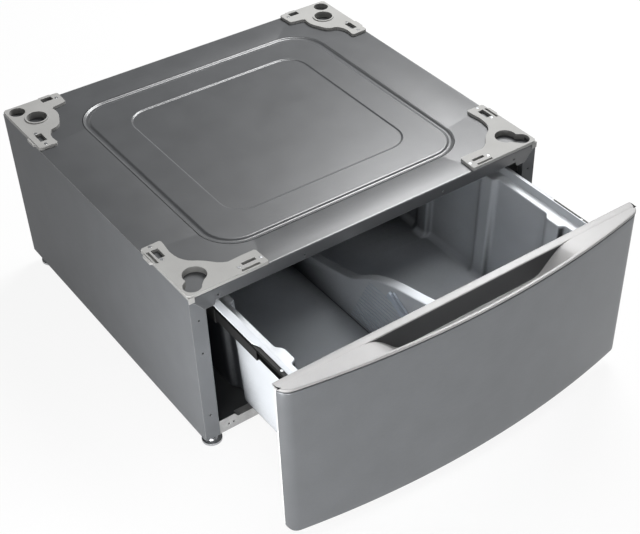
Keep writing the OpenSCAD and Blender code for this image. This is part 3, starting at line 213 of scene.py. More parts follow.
def surface(name, dark, light, metallic=0.0, rough=(0.4, 0.5), cloud=18.0, grain=900.0,
            bump=0.03, stretch=(1, 1, 1), edge=None, edge_r=0.0006, spec=0.5,
            hollow_shade=None, reach=0.2):
    """A material whose colour wanders between two tones, with fine grain in its roughness and bump.
    edge is a third tone that edges take, recess the tone of a painted shade deep inside hollows, below
    the ledge's height."""
    mat = bpy.data.materials.new(name)
    mat.use_nodes = True
    tree = mat.node_tree
    shader = tree.nodes["Principled BSDF"]
    shader.inputs["Metallic"].default_value = metallic
    shader.inputs["Specular IOR Level"].default_value = spec
    link = tree.links.new
    coord = tree.nodes.new("ShaderNodeTexCoord")
    mapping = tree.nodes.new("ShaderNodeMapping")
    mapping.inputs["Scale"].default_value = stretch
    link(coord.outputs["Object"], mapping.inputs["Vector"])
    clouds = tree.nodes.new("ShaderNodeTexNoise")
    clouds.inputs["Scale"].default_value = cloud
    clouds.inputs["Detail"].default_value = 5.0
    link(coord.outputs["Object"], clouds.inputs["Vector"])
    fine = tree.nodes.new("ShaderNodeTexNoise")
    fine.inputs["Scale"].default_value = grain
    fine.inputs["Detail"].default_value = 3.0
    link(mapping.outputs["Vector"], fine.inputs["Vector"])
    both = tree.nodes.new("ShaderNodeMix")
    both.data_type = "FLOAT"
    both.inputs["Factor"].default_value = GRAIN_SHARE
    link(clouds.outputs["Fac"], both.inputs["A"])
    link(fine.outputs["Fac"], both.inputs["B"])
    ramp = tree.nodes.new("ShaderNodeValToRGB")
    ramp.color_ramp.elements[0].position = TONE_RANGE[0]
    ramp.color_ramp.elements[0].color = (*dark, 1)
    ramp.color_ramp.elements[1].position = TONE_RANGE[1]
    ramp.color_ramp.elements[1].color = (*light, 1)
    link(both.outputs["Result"], ramp.inputs["Fac"])
    colour = ramp.outputs["Color"]
    bevel = tree.nodes.new("ShaderNodeBevel")
    bevel.samples = 6
    bevel.inputs["Radius"].default_value = edge_r
    # Edges take the edge tone, which is lighter than the surface on most finishes
    if edge is not None:
        geometry = tree.nodes.new("ShaderNodeNewGeometry")
        turn = tree.nodes.new("ShaderNodeVectorMath")
        turn.operation = "DOT_PRODUCT"
        link(bevel.outputs["Normal"], turn.inputs[0])
        link(geometry.outputs["Normal"], turn.inputs[1])
        edge_mask = tree.nodes.new("ShaderNodeMapRange")
        edge_mask.inputs["From Min"].default_value = EDGE_RANGE[0]
        edge_mask.inputs["From Max"].default_value = EDGE_RANGE[1]
        edge_mask.inputs["To Max"].default_value = EDGE_SHARE
        link(turn.outputs["Value"], edge_mask.inputs["Value"])
        mixed = tree.nodes.new("ShaderNodeMix")
        mixed.data_type = "RGBA"
        link(edge_mask.outputs["Result"], mixed.inputs["Factor"])
        link(colour, mixed.inputs["A"])
        mixed.inputs["B"].default_value = (*edge, 1)
        colour = mixed.outputs["Result"]
    # Painted shade: where the occlusion node finds a place closed in, below the ledge's height, the
    # colour darkens to the recess shade tone
    if hollow_shade is not None:
        hollow = tree.nodes.new("ShaderNodeAmbientOcclusion")
        hollow.samples = 16
        hollow.inputs["Distance"].default_value = reach
        opened = tree.nodes.new("ShaderNodeMapRange")
        opened.inputs["From Min"].default_value = SHADE_OPENNESS_RANGE[0]
        opened.inputs["From Max"].default_value = SHADE_OPENNESS_RANGE[1]
        link(hollow.outputs["AO"], opened.inputs["Value"])
        parts = tree.nodes.new("ShaderNodeSeparateXYZ")
        link(coord.outputs["Object"], parts.inputs["Vector"])
        raised = tree.nodes.new("ShaderNodeMapRange")
        ledge = FOOT_H + LEDGE_Z
        raised.inputs["From Min"].default_value = (ledge - SHADE_FADE_DEPTHS[0]) / 1000
        raised.inputs["From Max"].default_value = (ledge - SHADE_FADE_DEPTHS[1]) / 1000
        link(parts.outputs["Z"], raised.inputs["Value"])
        lit = larger(tree, opened.outputs["Result"], raised.outputs["Result"])
        mixed = tree.nodes.new("ShaderNodeMix")
        mixed.data_type = "RGBA"
        link(lit, mixed.inputs["Factor"])
        mixed.inputs["A"].default_value = (*hollow_shade, 1)
        link(colour, mixed.inputs["B"])
        colour = mixed.outputs["Result"]
    link(colour, shader.inputs["Base Color"])
    matte = tree.nodes.new("ShaderNodeMapRange")
    matte.inputs["To Min"].default_value = rough[0]
    matte.inputs["To Max"].default_value = rough[1]
    link(both.outputs["Result"], matte.inputs["Value"])
    link(matte.outputs["Result"], shader.inputs["Roughness"])
    relief = tree.nodes.new("ShaderNodeBump")
    relief.inputs["Strength"].default_value = bump
    relief.inputs["Distance"].default_value = GRAIN_DEPTH
    link(fine.outputs["Fac"], relief.inputs["Height"])
    link(bevel.outputs["Normal"], relief.inputs["Normal"])
    link(relief.outputs["Normal"], shader.inputs["Normal"])
    return mat


def tone(level, tint=(1, 1, 1)):
    """The linear colour of a grey level from 0 to 255, as it is seen, with a slight tint."""
    c = level / 255
    c = c / 12.92 if c <= 0.04045 else ((c + 0.055) / 1.055) ** 2.4
    return tuple(min(1.0, c * t) for t in tint)


COOL = (0.96, 1.0, 1.05)
BLUE = (0.9, 0.99, 1.12)
WARM = (1.01, 1.0, 1.0)
PAINT = surface("cabinet_paint", tone(74, COOL), tone(82, COOL), metallic=0.1,
                rough=(0.29, 0.35), grain=2600, bump=0.05, edge=tone(150), edge_r=0.0012, spec=0.8)
# The side panels have the cabinet's paint; this copy, lighter and almost without gloss, is painted to
# the light level that falls on the sides
SIDE_LIT_COPY = surface("cabinet_paint_side_lit_copy", tone(98, COOL), tone(106, COOL), rough=(0.34, 0.42), grain=2600,
               bump=0.05, edge=tone(150), edge_r=0.0012, spec=0.03)
DARK = surface("dark_steel", tone(84, COOL), tone(96, COOL), metallic=0.3, rough=(0.5, 0.62))
GALV = surface("galvanised", tone(152), tone(180), metallic=0.75, rough=(0.34, 0.5), cloud=60,
               grain=400, bump=0.05, edge=tone(226))
ZINC = surface("zinc", tone(150), tone(182, COOL), metallic=0.85, rough=(0.22, 0.36), cloud=90,
               grain=1400, edge=tone(230))
BALL = surface("ball_steel", tone(200), tone(216), metallic=1.0, rough=(0.06, 0.12))
BLACK = surface("black_steel", tone(16), tone(24), metallic=0.1, rough=(0.5, 0.62), cloud=70,
                edge=tone(52), spec=0.3)
BRACKET = surface("bracket_plastic", tone(150, (1, 0.995, 0.965)), tone(162, (1, 0.995, 0.97)),
                  rough=(0.58, 0.7), grain=1600, bump=0.06, edge=tone(196), spec=0.35)
# Tub plastic with a painted shade that darkens its compartments and hollows to a dark blue tone
TUB_SHADED = surface("tub_plastic", tone(200, COOL), tone(208, COOL), rough=(0.34, 0.44), grain=2200,
              bump=0.03, edge=tone(236), hollow_shade=tone(30, BLUE), reach=0.24)
# The ribs are of the tub's plastic; this copy leaves out the tub material's painted shade, so they stay
# light on the shaded divider
RIB_UNSHADED = surface("tub_plastic_unshaded_copy", tone(196, BLUE), tone(206, BLUE), rough=(0.4, 0.5), grain=2200,
              edge=tone(190))
BACKING = surface("backing_plastic", tone(214), tone(222), rough=(0.5, 0.6), grain=1500,
                  bump=0.06, edge=tone(232))
FRONT = surface("front_steel", tone(110, COOL), tone(118, COOL), metallic=0.6,
                rough=(0.3, 0.4), grain=1400, stretch=(0.02, 1, 1), bump=0.05, edge=tone(150))
TRIM = surface("trim_silver", tone(152, WARM), tone(160, WARM), metallic=0.1, rough=(0.5, 0.58),
               grain=2600, bump=0.02, edge=tone(225), spec=0.3)
DARK_PLASTIC = surface("dark_plastic", tone(58, COOL), tone(66, COOL), rough=(0.3, 0.4),
                       edge=tone(96))
RUBBER = surface("rubber", tone(46), tone(58), rough=(0.7, 0.85), grain=1100, bump=0.1,
                 edge=tone(84))


# Mesh helpers

MERGE_M = 2e-6
FLAT_ANGLE = 0.004


class Shell:
    """Collects patches of one mesh."""

    def __init__(self):
        self.verts = []
        self.faces = []

    def rows(self, rows, wrap=False):
        """Joins rows of points with quads."""
        start = len(self.verts)
        n = len(rows[0])
        for row in rows:
            self.verts.extend(row)
        for i in range(len(rows) - 1):
            for j in range(n if wrap else n - 1):
                k = (j + 1) % n
                a = start + i * n
                self.faces.append((a + j, a + k, a + n + k, a + n + j))
        return self

    def cap(self, ring):
        """Closes a ring of points with one face."""
        start = len(self.verts)
        self.verts.extend(ring)
        self.faces.append(tuple(range(start, start + len(ring))))
        return self

    def box(self, low, high, place):
        """A closed box between two corners, whose points go through place."""
        xs, ys, zs = zip(low, high)
        ring = [(0, 0), (1, 0), (1, 1), (0, 1)]
        rows = [[place(xs[i], ys[j], z) for i, j in ring] for z in zs]
        self.rows(rows, wrap=True).cap(rows[0][::-1]).cap(rows[1])
        return self

    def taken(self, node, keep):
        """Faces of a CAD node whose corners all pass keep(x, y, z), in the cabinet's frame."""
        mesh = nodes[node].data
        inside = [keep(v.co.x * 1000, v.co.y * 1000 - SHIFT_Y, v.co.z * 1000 - FOOT_H)
                  for v in mesh.vertices]
        start = len(self.verts)
        self.verts.extend(v.co.copy() for v in mesh.vertices)
        for p in mesh.polygons:
            if all(inside[i] for i in p.vertices):
                self.faces.append(tuple(start + i for i in p.vertices))
        return self

    def piece(self, name, body, material, slot, replaces=(), bevel=0.0, sharp=35.0):
        """Makes the patches one piece of the body; bevel in millimetres, sharp in degrees."""
        mesh = bpy.data.meshes.new(name)
        mesh.from_pydata(self.verts, [], self.faces)
        work = bmesh.new()
        work.from_mesh(mesh)
        bmesh.ops.remove_doubles(work, verts=work.verts, dist=MERGE_M)
        loose = [v for v in work.verts if not v.link_faces]
        bmesh.ops.delete(work, geom=loose, context="VERTS")
        bmesh.ops.recalc_face_normals(work, faces=work.faces)
        if bevel:
            bmesh.ops.dissolve_limit(work, angle_limit=FLAT_ANGLE, verts=work.verts,
                                     edges=work.edges)
        work.to_mesh(mesh)
        work.free()
        mesh.shade_smooth()
        mesh.set_sharp_from_angle(angle=math.radians(sharp))
        mesh.materials.append(material)
        made = bpy.data.objects.new(name, mesh)
        bpy.context.scene.collection.objects.link(made)
        if bevel:
            rounding = made.modifiers.new("rounding", "BEVEL")
            rounding.width = bevel / 1000
            rounding.segments = 2
            rounding.limit_method = "ANGLE"
            rounding.angle_limit = math.radians(sharp)
            rounding.harden_normals = True
        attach(made, body)
        if replaces:
            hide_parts(*replaces)


def edged(node, material, slot, bevel):
    """A node of the cabinet with its edges rounded."""
    Shell().taken(node, lambda x, y, z: True).piece(
        node + "_edged", "cabinet", material, slot, [node], bevel)


def finish_node(node, material):
    """Gives a CAD node its procedural material."""
    mesh = nodes[node].data
    mesh.materials.clear()
    mesh.materials.append(material)


# Top plate with its pressed groove and middle field

RING_STEPS = 14
GROOVE_NEAR = 0.05
GROOVE_IN = 0.25


def round_ring(half, y0, y1, r):
    """Plan points of a rounded rectangle, corner by corner."""
    centres = [(half - r, y0 + r, -90), (half - r, y1 - r, 0), (r - half, y1 - r, 90),
               (r - half, y0 + r, 180)]
    ring = []
    for cx, cy, a0 in centres:
        for k in range(RING_STEPS + 1):
            a = math.radians(a0 + 90 * k / RING_STEPS)
            ring.append((cx + r * math.cos(a), cy + r * math.sin(a)))
    return ring


def off_groove(x, y):
    """Distance of a plan point outside the groove's outer outline, negative inside."""
    half, y0, y1, r = GROOVE
    dx = abs(x) - (half - r)
    dy = max(y0 + r - y, y - (y1 - r))
    if dx > 0 and dy > 0:
        return math.hypot(dx, dy) - r
    return max(dx, dy) - r


def outer_top(x, y, z):
    """Whether a vertex of the CAD top is kept: outside the groove, or on its upper outline."""
    gap = off_groove(x, y)
    return gap > GROOVE_NEAR or (gap > -GROOVE_IN and z > BODY_H - GROOVE_NEAR)


def top_shell():
    made = Shell().taken("top_plate", outer_top)
    rows = []
    for (half, y0, y1, r), steps in ((GROOVE, GROOVE_STEPS), (FIELD, FIELD_STEPS)):
        for inset, height in steps:
            ring = round_ring(half - inset, y0 + inset, y1 - inset, r - inset)
            rows.append([at(x, y, BODY_H + height) for x, y in ring])
    made.rows(rows, wrap=True).cap(rows[-1])
    made.piece("top_shell", "cabinet", PAINT, "cabinet_paint", ["top_plate"], sharp=50)


# Drawer front and trim


def front_outline(grow=0.0, arc_steps=ARC_STEPS):
    """Plan points of the bowed front from the left rear edge to the right one, with normals."""
    centre = FRONT_BACK - FRONT_D + BOW_R
    x_c = HALF_W - FRONT_R
    y_c = centre - math.sqrt((BOW_R - FRONT_R) ** 2 - x_c**2)
    turn = math.atan2(x_c, centre - y_c)
    half = []
    for k in range(arc_steps // 2 + 1):
        a = turn * k / (arc_steps / 2)
        n = Vector((math.sin(a), -math.cos(a)))
        half.append((Vector((0, centre)) + n * (BOW_R + grow), n))
    for k in range(1, CORNER_STEPS + 1):
        a = turn + (math.pi / 2 - turn) * k / CORNER_STEPS
        n = Vector((math.sin(a), -math.cos(a)))
        half.append((Vector((x_c, y_c)) + n * (FRONT_R + grow), n))
    mirrored = [(Vector((-p.x, p.y)), Vector((-n.x, n.y))) for p, n in half[:0:-1]]
    return mirrored + half


def low_edge(x):
    """Height of the front's lower edge, with its corners rounded."""
    over = abs(x) - (HALF_W - LOW_R)
    if over <= 0:
        return FRONT_Z0
    return FRONT_Z0 + LOW_R - math.sqrt(max(0.0, LOW_R**2 - over**2))


def front_section(low, top):
    """The skin's section as (distance behind the face, height), folded back at top and bottom."""
    r = SKIN_EDGE_R
    turns = [math.radians(a) for a in (22.5, 45, 67.5)]
    section = [(SKIN_FOLD, top - SKIN_T), (SKIN_FOLD, top), (r, top)]
    section += [(r * (1 - math.sin(a)), top - r * (1 - math.cos(a))) for a in turns]
    section += [(0, top - r + (low + r - (top - r)) * k / SKIN_STEPS) for k in range(SKIN_STEPS + 1)]
    section += [(r * (1 - math.sin(a)), low + r * (1 - math.cos(a))) for a in turns[::-1]]
    section += [(r, low), (SKIN_FOLD, low), (SKIN_FOLD, low + SKIN_T), (SKIN_T, low + SKIN_T),
                (SKIN_T, top - SKIN_T)]
    return section


def front_shell():
    top = TRIM_TOP - TRIM_H - REVEAL
    rows = []
    for p, n in front_outline():
        if p.y > FRONT_BACK - SKIN_BACK:
            continue
        section = front_section(low_edge(p.x), top)
        rows.append([at_drawer(p.x - n.x * o, p.y - n.y * o, z) for o, z in section])
    made = Shell().rows(rows, wrap=True)
    made.cap(rows[0][::-1]).cap(rows[-1])
    made.piece("front_shell", "drawer", FRONT, "front_steel", ["front_skin"], sharp=40)


def pocket_depth(x):
    """Depth of the handle pocket under the trim's top at x."""
    share = (POCKET_X - abs(x)) / POCKET_SLOPE
    if share <= 0:
        return 0.0
    return POCKET_Z * table_value(POCKET_TABLE, min(1.0, share))


POCKET_TABLE = smooth_curve(POCKET_CURVE, POCKET_STEPS)


def trim_place(x, y, z):
    """A point of the trim, kept in front of its rear line with rounded rear corners."""
    over = min(TRIM_CORNER, max(0.0, abs(x) - (HALF_W + PROUD - TRIM_CORNER)))
    rear = FRONT_BACK - TRIM_CORNER + math.sqrt(TRIM_CORNER**2 - over**2)
    return at_drawer(x, min(y, rear), z)


def trim_rear(depth):
    """Section of the trim's rear strip, down into the pocket where there is one."""
    drop = min(POCKET_REAR_H, depth)
    edge = min(POCKET_EDGE_R, max(LEAST_R, depth / 2))
    r = TRIM_REAR_R
    return [(FRONT_BACK, TRIM_TOP - TRIM_H), (FRONT_BACK, TRIM_TOP - r),
            (FRONT_BACK - r * ROUND_MID, TRIM_TOP - r * ROUND_MID), (FRONT_BACK - r, TRIM_TOP),
            (POCKET_Y + edge, TRIM_TOP), (POCKET_Y + edge * ROUND_MID, TRIM_TOP - edge * ROUND_MID),
            (POCKET_Y, TRIM_TOP - edge), (POCKET_Y, TRIM_TOP - drop)]


def trim_inside(y, depth):
    """Section of the pocket's floor, its sweep upwards and the round inside its lip."""
    lip = y + POCKET_LIP
    sweep = min(POCKET_SWEEP_R, depth * SWEEP_SHARE)
    round_in = min(POCKET_LIP - POCKET_LIP_FLAT, depth * LIP_SHARE)
    bottom = TRIM_TOP - depth
    step = POCKET_FLOOR_STEP
    turns = [math.radians(15 * k) for k in range(7)]
    section = [(POCKET_Y, bottom), (POCKET_Y - step, bottom),
               (min(POCKET_Y - step, lip + sweep + step / 2), bottom)]
    section += [(lip + sweep * (1 - math.sin(s)), bottom + sweep * (1 - math.cos(s))) for s in turns]
    section += [(lip - round_in * (1 - math.cos(s)), TRIM_TOP - round_in * (1 - math.sin(s)))
                for s in turns]
    return section


def trim_rows():
    """Rows across the trim: its rear strip, and its face with the pocket's floor and lip."""
    low = TRIM_TOP - TRIM_H
    r = TRIM_EDGE_R
    strip = []
    face = []
    for p, n in front_outline(PROUD, TRIM_ARC_STEPS):
        x, y = p
        depth = pocket_depth(x)
        strip.append([trim_place(x, max(yy, y + LEAST_STRIP) if x else yy, z)
                      for yy, z in trim_rear(depth)])
        row = [trim_place(x, yy, z) for yy, z in trim_inside(y, depth)]
        for k in range(5):
            s = math.radians(22.5 * k)
            o = r * (1 - math.sin(s))
            row.append(trim_place(x - n.x * o, y - n.y * o, TRIM_TOP - r * (1 - math.cos(s))))
        for o, z in ((0, low + TRIM_LOW_R), (TRIM_LOW_R, low), (TRIM_FOLD, low)):
            row.append(trim_place(x - n.x * o, y - n.y * o, z))
        face.append(row)
    return strip, face


def trim_shell():
    strip, face = trim_rows()
    made = Shell().rows(strip).rows(face)
    made.piece("trim_shell", "drawer", TRIM, "trim_silver", ["handle_trim"], sharp=60)


# Drawer tub


def pilaster_depth(y):
    """How far the tub's wall stands inwards at y."""
    for y0 in PILASTERS:
        if y0 <= y <= y0 + PILASTER_L:
            return PILASTER_D * table_value(PILASTER_PLAN, (y - y0) / PILASTER_L)
    return 0.0


def side_stations(y0, y1):
    """Places along a side of the tub: even steps and the points of the pilasters."""
    stations = {y0, y1}
    for p in PILASTERS:
        stations.update(p + PILASTER_L * s for s, _ in PILASTER_PLAN)
    for k in range(1, SIDE_STEPS):
        stations.add(y0 + (y1 - y0) * k / SIDE_STEPS)
    return sorted(s for s in stations if y0 <= s <= y1)


# Places along a side, angles inside a corner, and shares along the front and rear
STATIONS = side_stations(TUB_IN_Y0 + TUB_IN_R, TUB_IN_Y1 - TUB_IN_R)
CORNER = [math.pi / 2 * k / TUB_CORNER_STEPS for k in range(1, TUB_CORNER_STEPS)]
SPAN = [k / SPAN_STEPS for k in range(SPAN_STEPS + 1)]


def tub_ring(z, grow=0.0):
    """One level of the tub's wall, from the front left corner's front end all round."""
    lean = DRAFT * (LEDGE_Z - z) - grow
    x1 = TUB_X - lean
    y0 = TUB_IN_Y0 + lean
    y1 = TUB_IN_Y1 - lean
    r = max(LEAST_CORNER_R, TUB_IN_R - lean)
    ring = [(r - x1 - r * math.sin(a), y0 + r - r * math.cos(a)) for a in CORNER]
    scale = (y1 - y0 - 2 * r) / (STATIONS[-1] - STATIONS[0])
    sides = [(y0 + r + (s - STATIONS[0]) * scale, pilaster_depth(s)) for s in STATIONS]
    ring += [(-x1 + d, y) for y, d in sides]
    ring += [(r - x1 - r * math.cos(a), y1 - r + r * math.sin(a)) for a in CORNER]
    ring += [((x1 - r) * (2 * k - 1), y1) for k in SPAN]
    ring += [(x1 - r + r * math.sin(a), y1 - r + r * math.cos(a)) for a in CORNER]
    ring += [(x1 - d, y) for y, d in reversed(sides)]
    ring += [(x1 - r + r * math.cos(a), y0 + r - r * math.sin(a)) for a in CORNER]
    ring += [((x1 - r) * (1 - 2 * k), y0) for k in SPAN]
    return ring


def tub_levels(made, floor, radius, top, grow):
    """One skin of the tub: its walls down to the low level, the round at the floor, and the floor."""
    rows = []
    for share in (0, 0.25, 0.5, 1):
        z = top - share * (top - TUB_LOW_LEVEL)
        rows.append([at_drawer(x, y, z) for x, y in tub_ring(z, grow)])
    for k in range(FLOOR_STEPS + 1):
        a = math.pi / 2 * k / FLOOR_STEPS
        z = floor + radius * (1 - math.sin(a))
        ring = tub_ring(z, grow - radius * (1 - math.cos(a)))
        rows.append([at_drawer(x, y, z) for x, y in ring])
    made.rows(rows, wrap=True).cap(rows[-1])


RIM_TOP = LEDGE_Z + RIM_H

# Section of ledge, rim and lip, as distance outside the wall and height
LIP_X = LEDGE_W + LIP_W
LIP_Z = RIM_TOP - LIP_FALL
RIM_SECTION = [
    (LEDGE_W - 1.6, LEDGE_Z), (LEDGE_W - 0.5, LEDGE_Z + 0.5), (LEDGE_W, LEDGE_Z + 1.6),
    (LEDGE_W, RIM_TOP - 1.5), (LEDGE_W + 0.35, RIM_TOP - 0.5), (LEDGE_W + 1.2, RIM_TOP - 0.1),
    (LEDGE_W + 2.2, RIM_TOP - 0.45),
    (LIP_X - 0.9, LIP_Z + 0.2), (LIP_X - 0.2, LIP_Z - 0.4), (LIP_X, LIP_Z - 1.0),
    (LIP_X, LIP_Z - 2.6), (LIP_X - WALL, LIP_Z - 2.6), (LIP_X - WALL, LIP_Z - 1.6),
    (LEDGE_W + WALL, RIM_TOP - 3.2),
    (LEDGE_W + WALL, LEDGE_Z - WALL), (WALL, LEDGE_Z - WALL)]


def rim_rows():
    """The ledge and the rim along the left side, the rear and the right side."""
    ring = tub_ring(LEDGE_Z)
    count = len(CORNER) + len(STATIONS)
    left = ring[:count]
    rear_left = ring[count:count + len(CORNER)]
    rear = ring[count + len(CORNER):count + len(CORNER) + len(SPAN)]
    rows = []
    path = []
    path.append(((-TUB_X + TUB_IN_R, TUB_IN_Y0), (-1, 0)))
    path += [(p, (-1, 0)) for p in left]
    centre = (-TUB_X + TUB_IN_R, TUB_IN_Y1 - TUB_IN_R)
    path += [(p, ((p[0] - centre[0]) / TUB_IN_R, (p[1] - centre[1]) / TUB_IN_R))
             for p in rear_left]
    path += [(p, (0, 1)) for p in rear[:len(SPAN) // 2 + 1]]
    path += [((-p[0], p[1]), (-n[0], n[1])) for p, n in reversed(path[:-1])]
    for p, n in path:
        if n[1] == 0:
            base = Vector((math.copysign(TUB_X, p[0]), p[1]))
            inner = abs(p[0]) - TUB_X
        else:
            base = Vector(p)
            inner = 0.0
        front_y = p[1] if p[1] > TUB_IN_Y0 + LEAST_STRIP else TUB_Y0
        section = []
        for a in (0, 30, 60, 90):
            s = math.radians(a)
            section.append((inner + LEDGE_FILLET * (1 - math.cos(s)),
                            LEDGE_Z - LEDGE_FILLET * (1 - math.sin(s))))
        cut = LIP_CUT if n[1] == 0 and p[1] < LIP_CUT_Y else 0.0
        for o, z in RIM_SECTION:
            if o > LIP_X - LIP_END:
                o = o - cut
            section.append((o, z))
        row = []
        for o, z in section:
            q = base + Vector(n) * o
            y = q.y if n[1] else (front_y if o > LEDGE_W - RIM_FOOT else p[1])
            row.append(at_drawer(q.x, y, z))
        rows.append(row)
    return rows


def tub_shell():
    """The tub's two skins, its rim, and the band along its front edge."""
    made = Shell()
    tub_levels(made, FLOOR_Z, TUB_ROUND - WALL, LEDGE_Z - LEDGE_FILLET, 0.0)
    tub_levels(made, TUB_Z, TUB_ROUND, LEDGE_Z - WALL, WALL)
    made.rows(rim_rows())
    side = TUB_X + LEDGE_W + WALL
    made.box((-side, TUB_Y0, LEDGE_Z - WALL - FRONT_BAND), (side, TUB_IN_Y0, RIM_TOP - WALL), at_drawer)
    made.piece("tub_shell", "drawer", TUB_SHADED, "tub_plastic", ["drawer_tub"], sharp=45)


# Divider

DIVIDER_W = 20.0
DIVIDER_Z = 214.0
DIVIDER_GAP = 0.4
DIVIDER_RAMP = 15.0
DIVIDER_R = 3.0
DIVIDER_STEPS = 4
MITRE_LEAST = 0.35

# Its top edge from front to rear, as shares of its length and of its height
DIVIDER_TOP = [
    (0, 0.995), (0.03, 0.99), (0.09, 0.972), (0.155, 0.953), (0.23, 0.91), (0.31, 0.868),
    (0.39, 0.815), (0.43, 0.777), (0.474, 0.73), (0.515, 0.672), (0.555, 0.606),
    (0.59, 0.566), (0.64, 0.533), (0.72, 0.485), (0.8, 0.448), (0.87, 0.425), (1, 0.41)]


def divider_outline():
    """The divider's side view as (y, z), from the rear over the floor to the front and the top."""
    gap = DIVIDER_GAP
    low = FLOOR_Z + gap
    ramp = low + DIVIDER_RAMP
    y0 = TUB_IN_Y0 + gap + DRAFT * (LEDGE_Z - ramp)
    y1 = TUB_IN_Y1 - gap - DRAFT * (LEDGE_Z - ramp)
    y0t = TUB_IN_Y0 + gap + DRAFT * (LEDGE_Z - DIVIDER_Z) + WALL
    top = [(y0t + (y1 - y0t) * s, DIVIDER_Z * h) for s, h in smooth_curve(DIVIDER_TOP, DIVIDER_STEPS)]
    return [(y1, ramp), (y1 - DIVIDER_RAMP, low), (y0 + DIVIDER_RAMP, low), (y0, ramp), *top]


def inset_ring(ring, amount):
    """The ring moved inwards by amount, with mitred corners."""
    made = []
    n = len(ring)
    for i in range(n):
        a, b, c = (Vector(ring[(i + k) % n]) for k in (-1, 0, 1))
        d0 = (b - a).normalized()
        d1 = (c - b).normalized()
        n0 = Vector((d0.y, -d0.x))
        n1 = Vector((d1.y, -d1.x))
        m = (n0 + n1).normalized()
        made.append(b + m * amount / max(MITRE_LEAST, m.dot(n0)))
    return made


def divider_shell():
    ring = divider_outline()
    area = sum(a[0] * b[1] - b[0] * a[1] for a, b in zip(ring, ring[1:] + ring[:1]))
    sign = -1 if area > 0 else 1
    r = DIVIDER_R
    # Distance from a face and inset of the outline there
    rounding = [(0, r), (0.4, 1.45), (1.3, 0.4), (r, 0)]
    levels = rounding + [(DIVIDER_W - x, inset) for x, inset in reversed(rounding)]
    rows = [[at_drawer(x, y, z) for y, z in inset_ring(ring, inset * sign)] for x, inset in levels]
    made = Shell().rows(rows, wrap=True).cap(rows[0][::-1]).cap(rows[-1])
    made.piece("divider_shell", "drawer", TUB_SHADED, "tub_plastic", ["divider"], sharp=50)


# Ribs and slanted bars on the divider's left face, sunk a little into it

RIBS = 14
RIB_PROUD = 0.9
RIB_SUNK = 0.5
RIB_H = 1.3
RIB_PITCH = 8.0
RIB_Y = (62.0, 288.0)
RIB_SHORTER = 4.0
RIB_Z0 = 44.0
BAR_TILT = math.radians(28)
BAR_Y = 132.0
BAR_Z = 134.0

# Bars as (how far they stand out, start, end, lower edge, upper edge) in their slanted frame
BARS = [(5.5, 0, 56, 0, 11), (3.5, 2, 50, 16, 19)]


def on_bar(x, y, z):
    """A point of the slanted bars' own frame: y along them, z across them."""
    return at_drawer(x, BAR_Y + y * math.cos(BAR_TILT) - z * math.sin(BAR_TILT),
                     BAR_Z + y * math.sin(BAR_TILT) + z * math.cos(BAR_TILT))


def divider_ribs():
    made = Shell()
    for k in range(RIBS):
        z = RIB_Z0 + RIB_PITCH * k
        end = RIB_Y[1] - RIB_SHORTER * k
        made.box((-RIB_PROUD, RIB_Y[0], z), (RIB_SUNK, end, z + RIB_H), at_drawer)
    for proud, y0, y1, z0, z1 in BARS:
        made.box((-proud, y0, z0), (RIB_SUNK, y1, z1), on_bar)
    made.piece("divider_ribs", "drawer", RIB_UNSHADED, "tub_plastic", [], sharp=50)


top_shell()
front_shell()
trim_shell()
tub_shell()
divider_shell()
divider_ribs()

# Node, material, slot and bevel in millimetres
EDGED = [
    ("side_panel_left", SIDE_LIT_COPY, "cabinet_paint", 0.6),
    ("side_panel_right", SIDE_LIT_COPY, "cabinet_paint", 0.6),
    ("rear_panel", PAINT, "cabinet_paint", 0.6),
    ("front_rail", GALV, "galvanised", 0.3),
]
for corner in ("front_left", "front_right", "rear_left", "rear_right"):
    EDGED.append(("bracket_" + corner, BRACKET, "bracket_plastic", 0.7))
for row in EDGED:
    edged(*row)

FINISHES = {
    "dark_steel": DARK, "galvanised": GALV, "zinc": ZINC, "ball_steel": BALL,
    "black_steel": BLACK, "bracket_plastic": BRACKET, "tub_plastic": TUB_SHADED,
    "backing_plastic": BACKING, "front_steel": FRONT, "trim_silver": TRIM,
    "dark_plastic": DARK_PLASTIC, "rubber": RUBBER, "cabinet_paint": PAINT}
for part in frame["record"]["subparts"]:
    finish_node(part["node"], FINISHES[part["material_slot"]])


# Camera, floor and light

# Camera solved from the photograph: degrees, millimetres in the cabinet's frame, and pixels
AZIMUTH = -38.058
ELEVATION = 41.434
ROLL = 0.605
CAMERA_PLACE = (-957.99, -1263.32, 1483.83)
FOCAL_PX = 1247.41
CENTRE_PX = (390.66, 317.80)
PHOTO_PX = (640, 534)
SENSOR = 36.0


def photo_camera():
    data = bpy.data.cameras.new("camera")
    camera = bpy.data.objects.new("camera", data)
    bpy.context.scene.collection.objects.link(camera)
    azimuth = math.radians(AZIMUTH)
    elevation = math.radians(ELEVATION)
    roll = math.radians(ROLL)
    back = Vector((math.sin(azimuth) * math.cos(elevation), -math.cos(azimuth) * math.cos(elevation),
                   math.sin(elevation)))
    right = Vector((math.cos(azimuth), math.sin(azimuth), 0))
    up = back.cross(right)
    right, up = (right * math.cos(roll) + up * math.sin(roll),
                 up * math.cos(roll) - right * math.sin(roll))
    turn = Matrix((right, up, back)).transposed().to_4x4()
    camera.matrix_world = Matrix.Translation(at(*CAMERA_PLACE)) @ turn
    width, height = PHOTO_PX
    data.sensor_width = SENSOR
    data.lens = FOCAL_PX / width * SENSOR
    data.shift_x = -(CENTRE_PX[0] - width / 2) / width
    data.shift_y = (CENTRE_PX[1] - height / 2) / width
    data.clip_end = 50
    bpy.context.scene.camera = camera


photo_camera()


# Share of plain white in the floor and backdrop, the same for camera, glossy and transmission rays
GROUND_WHITE = 0.9
GROUND_HALF = 9.0
WALL_H = 3.2
WORLD_LIGHT = 0.15
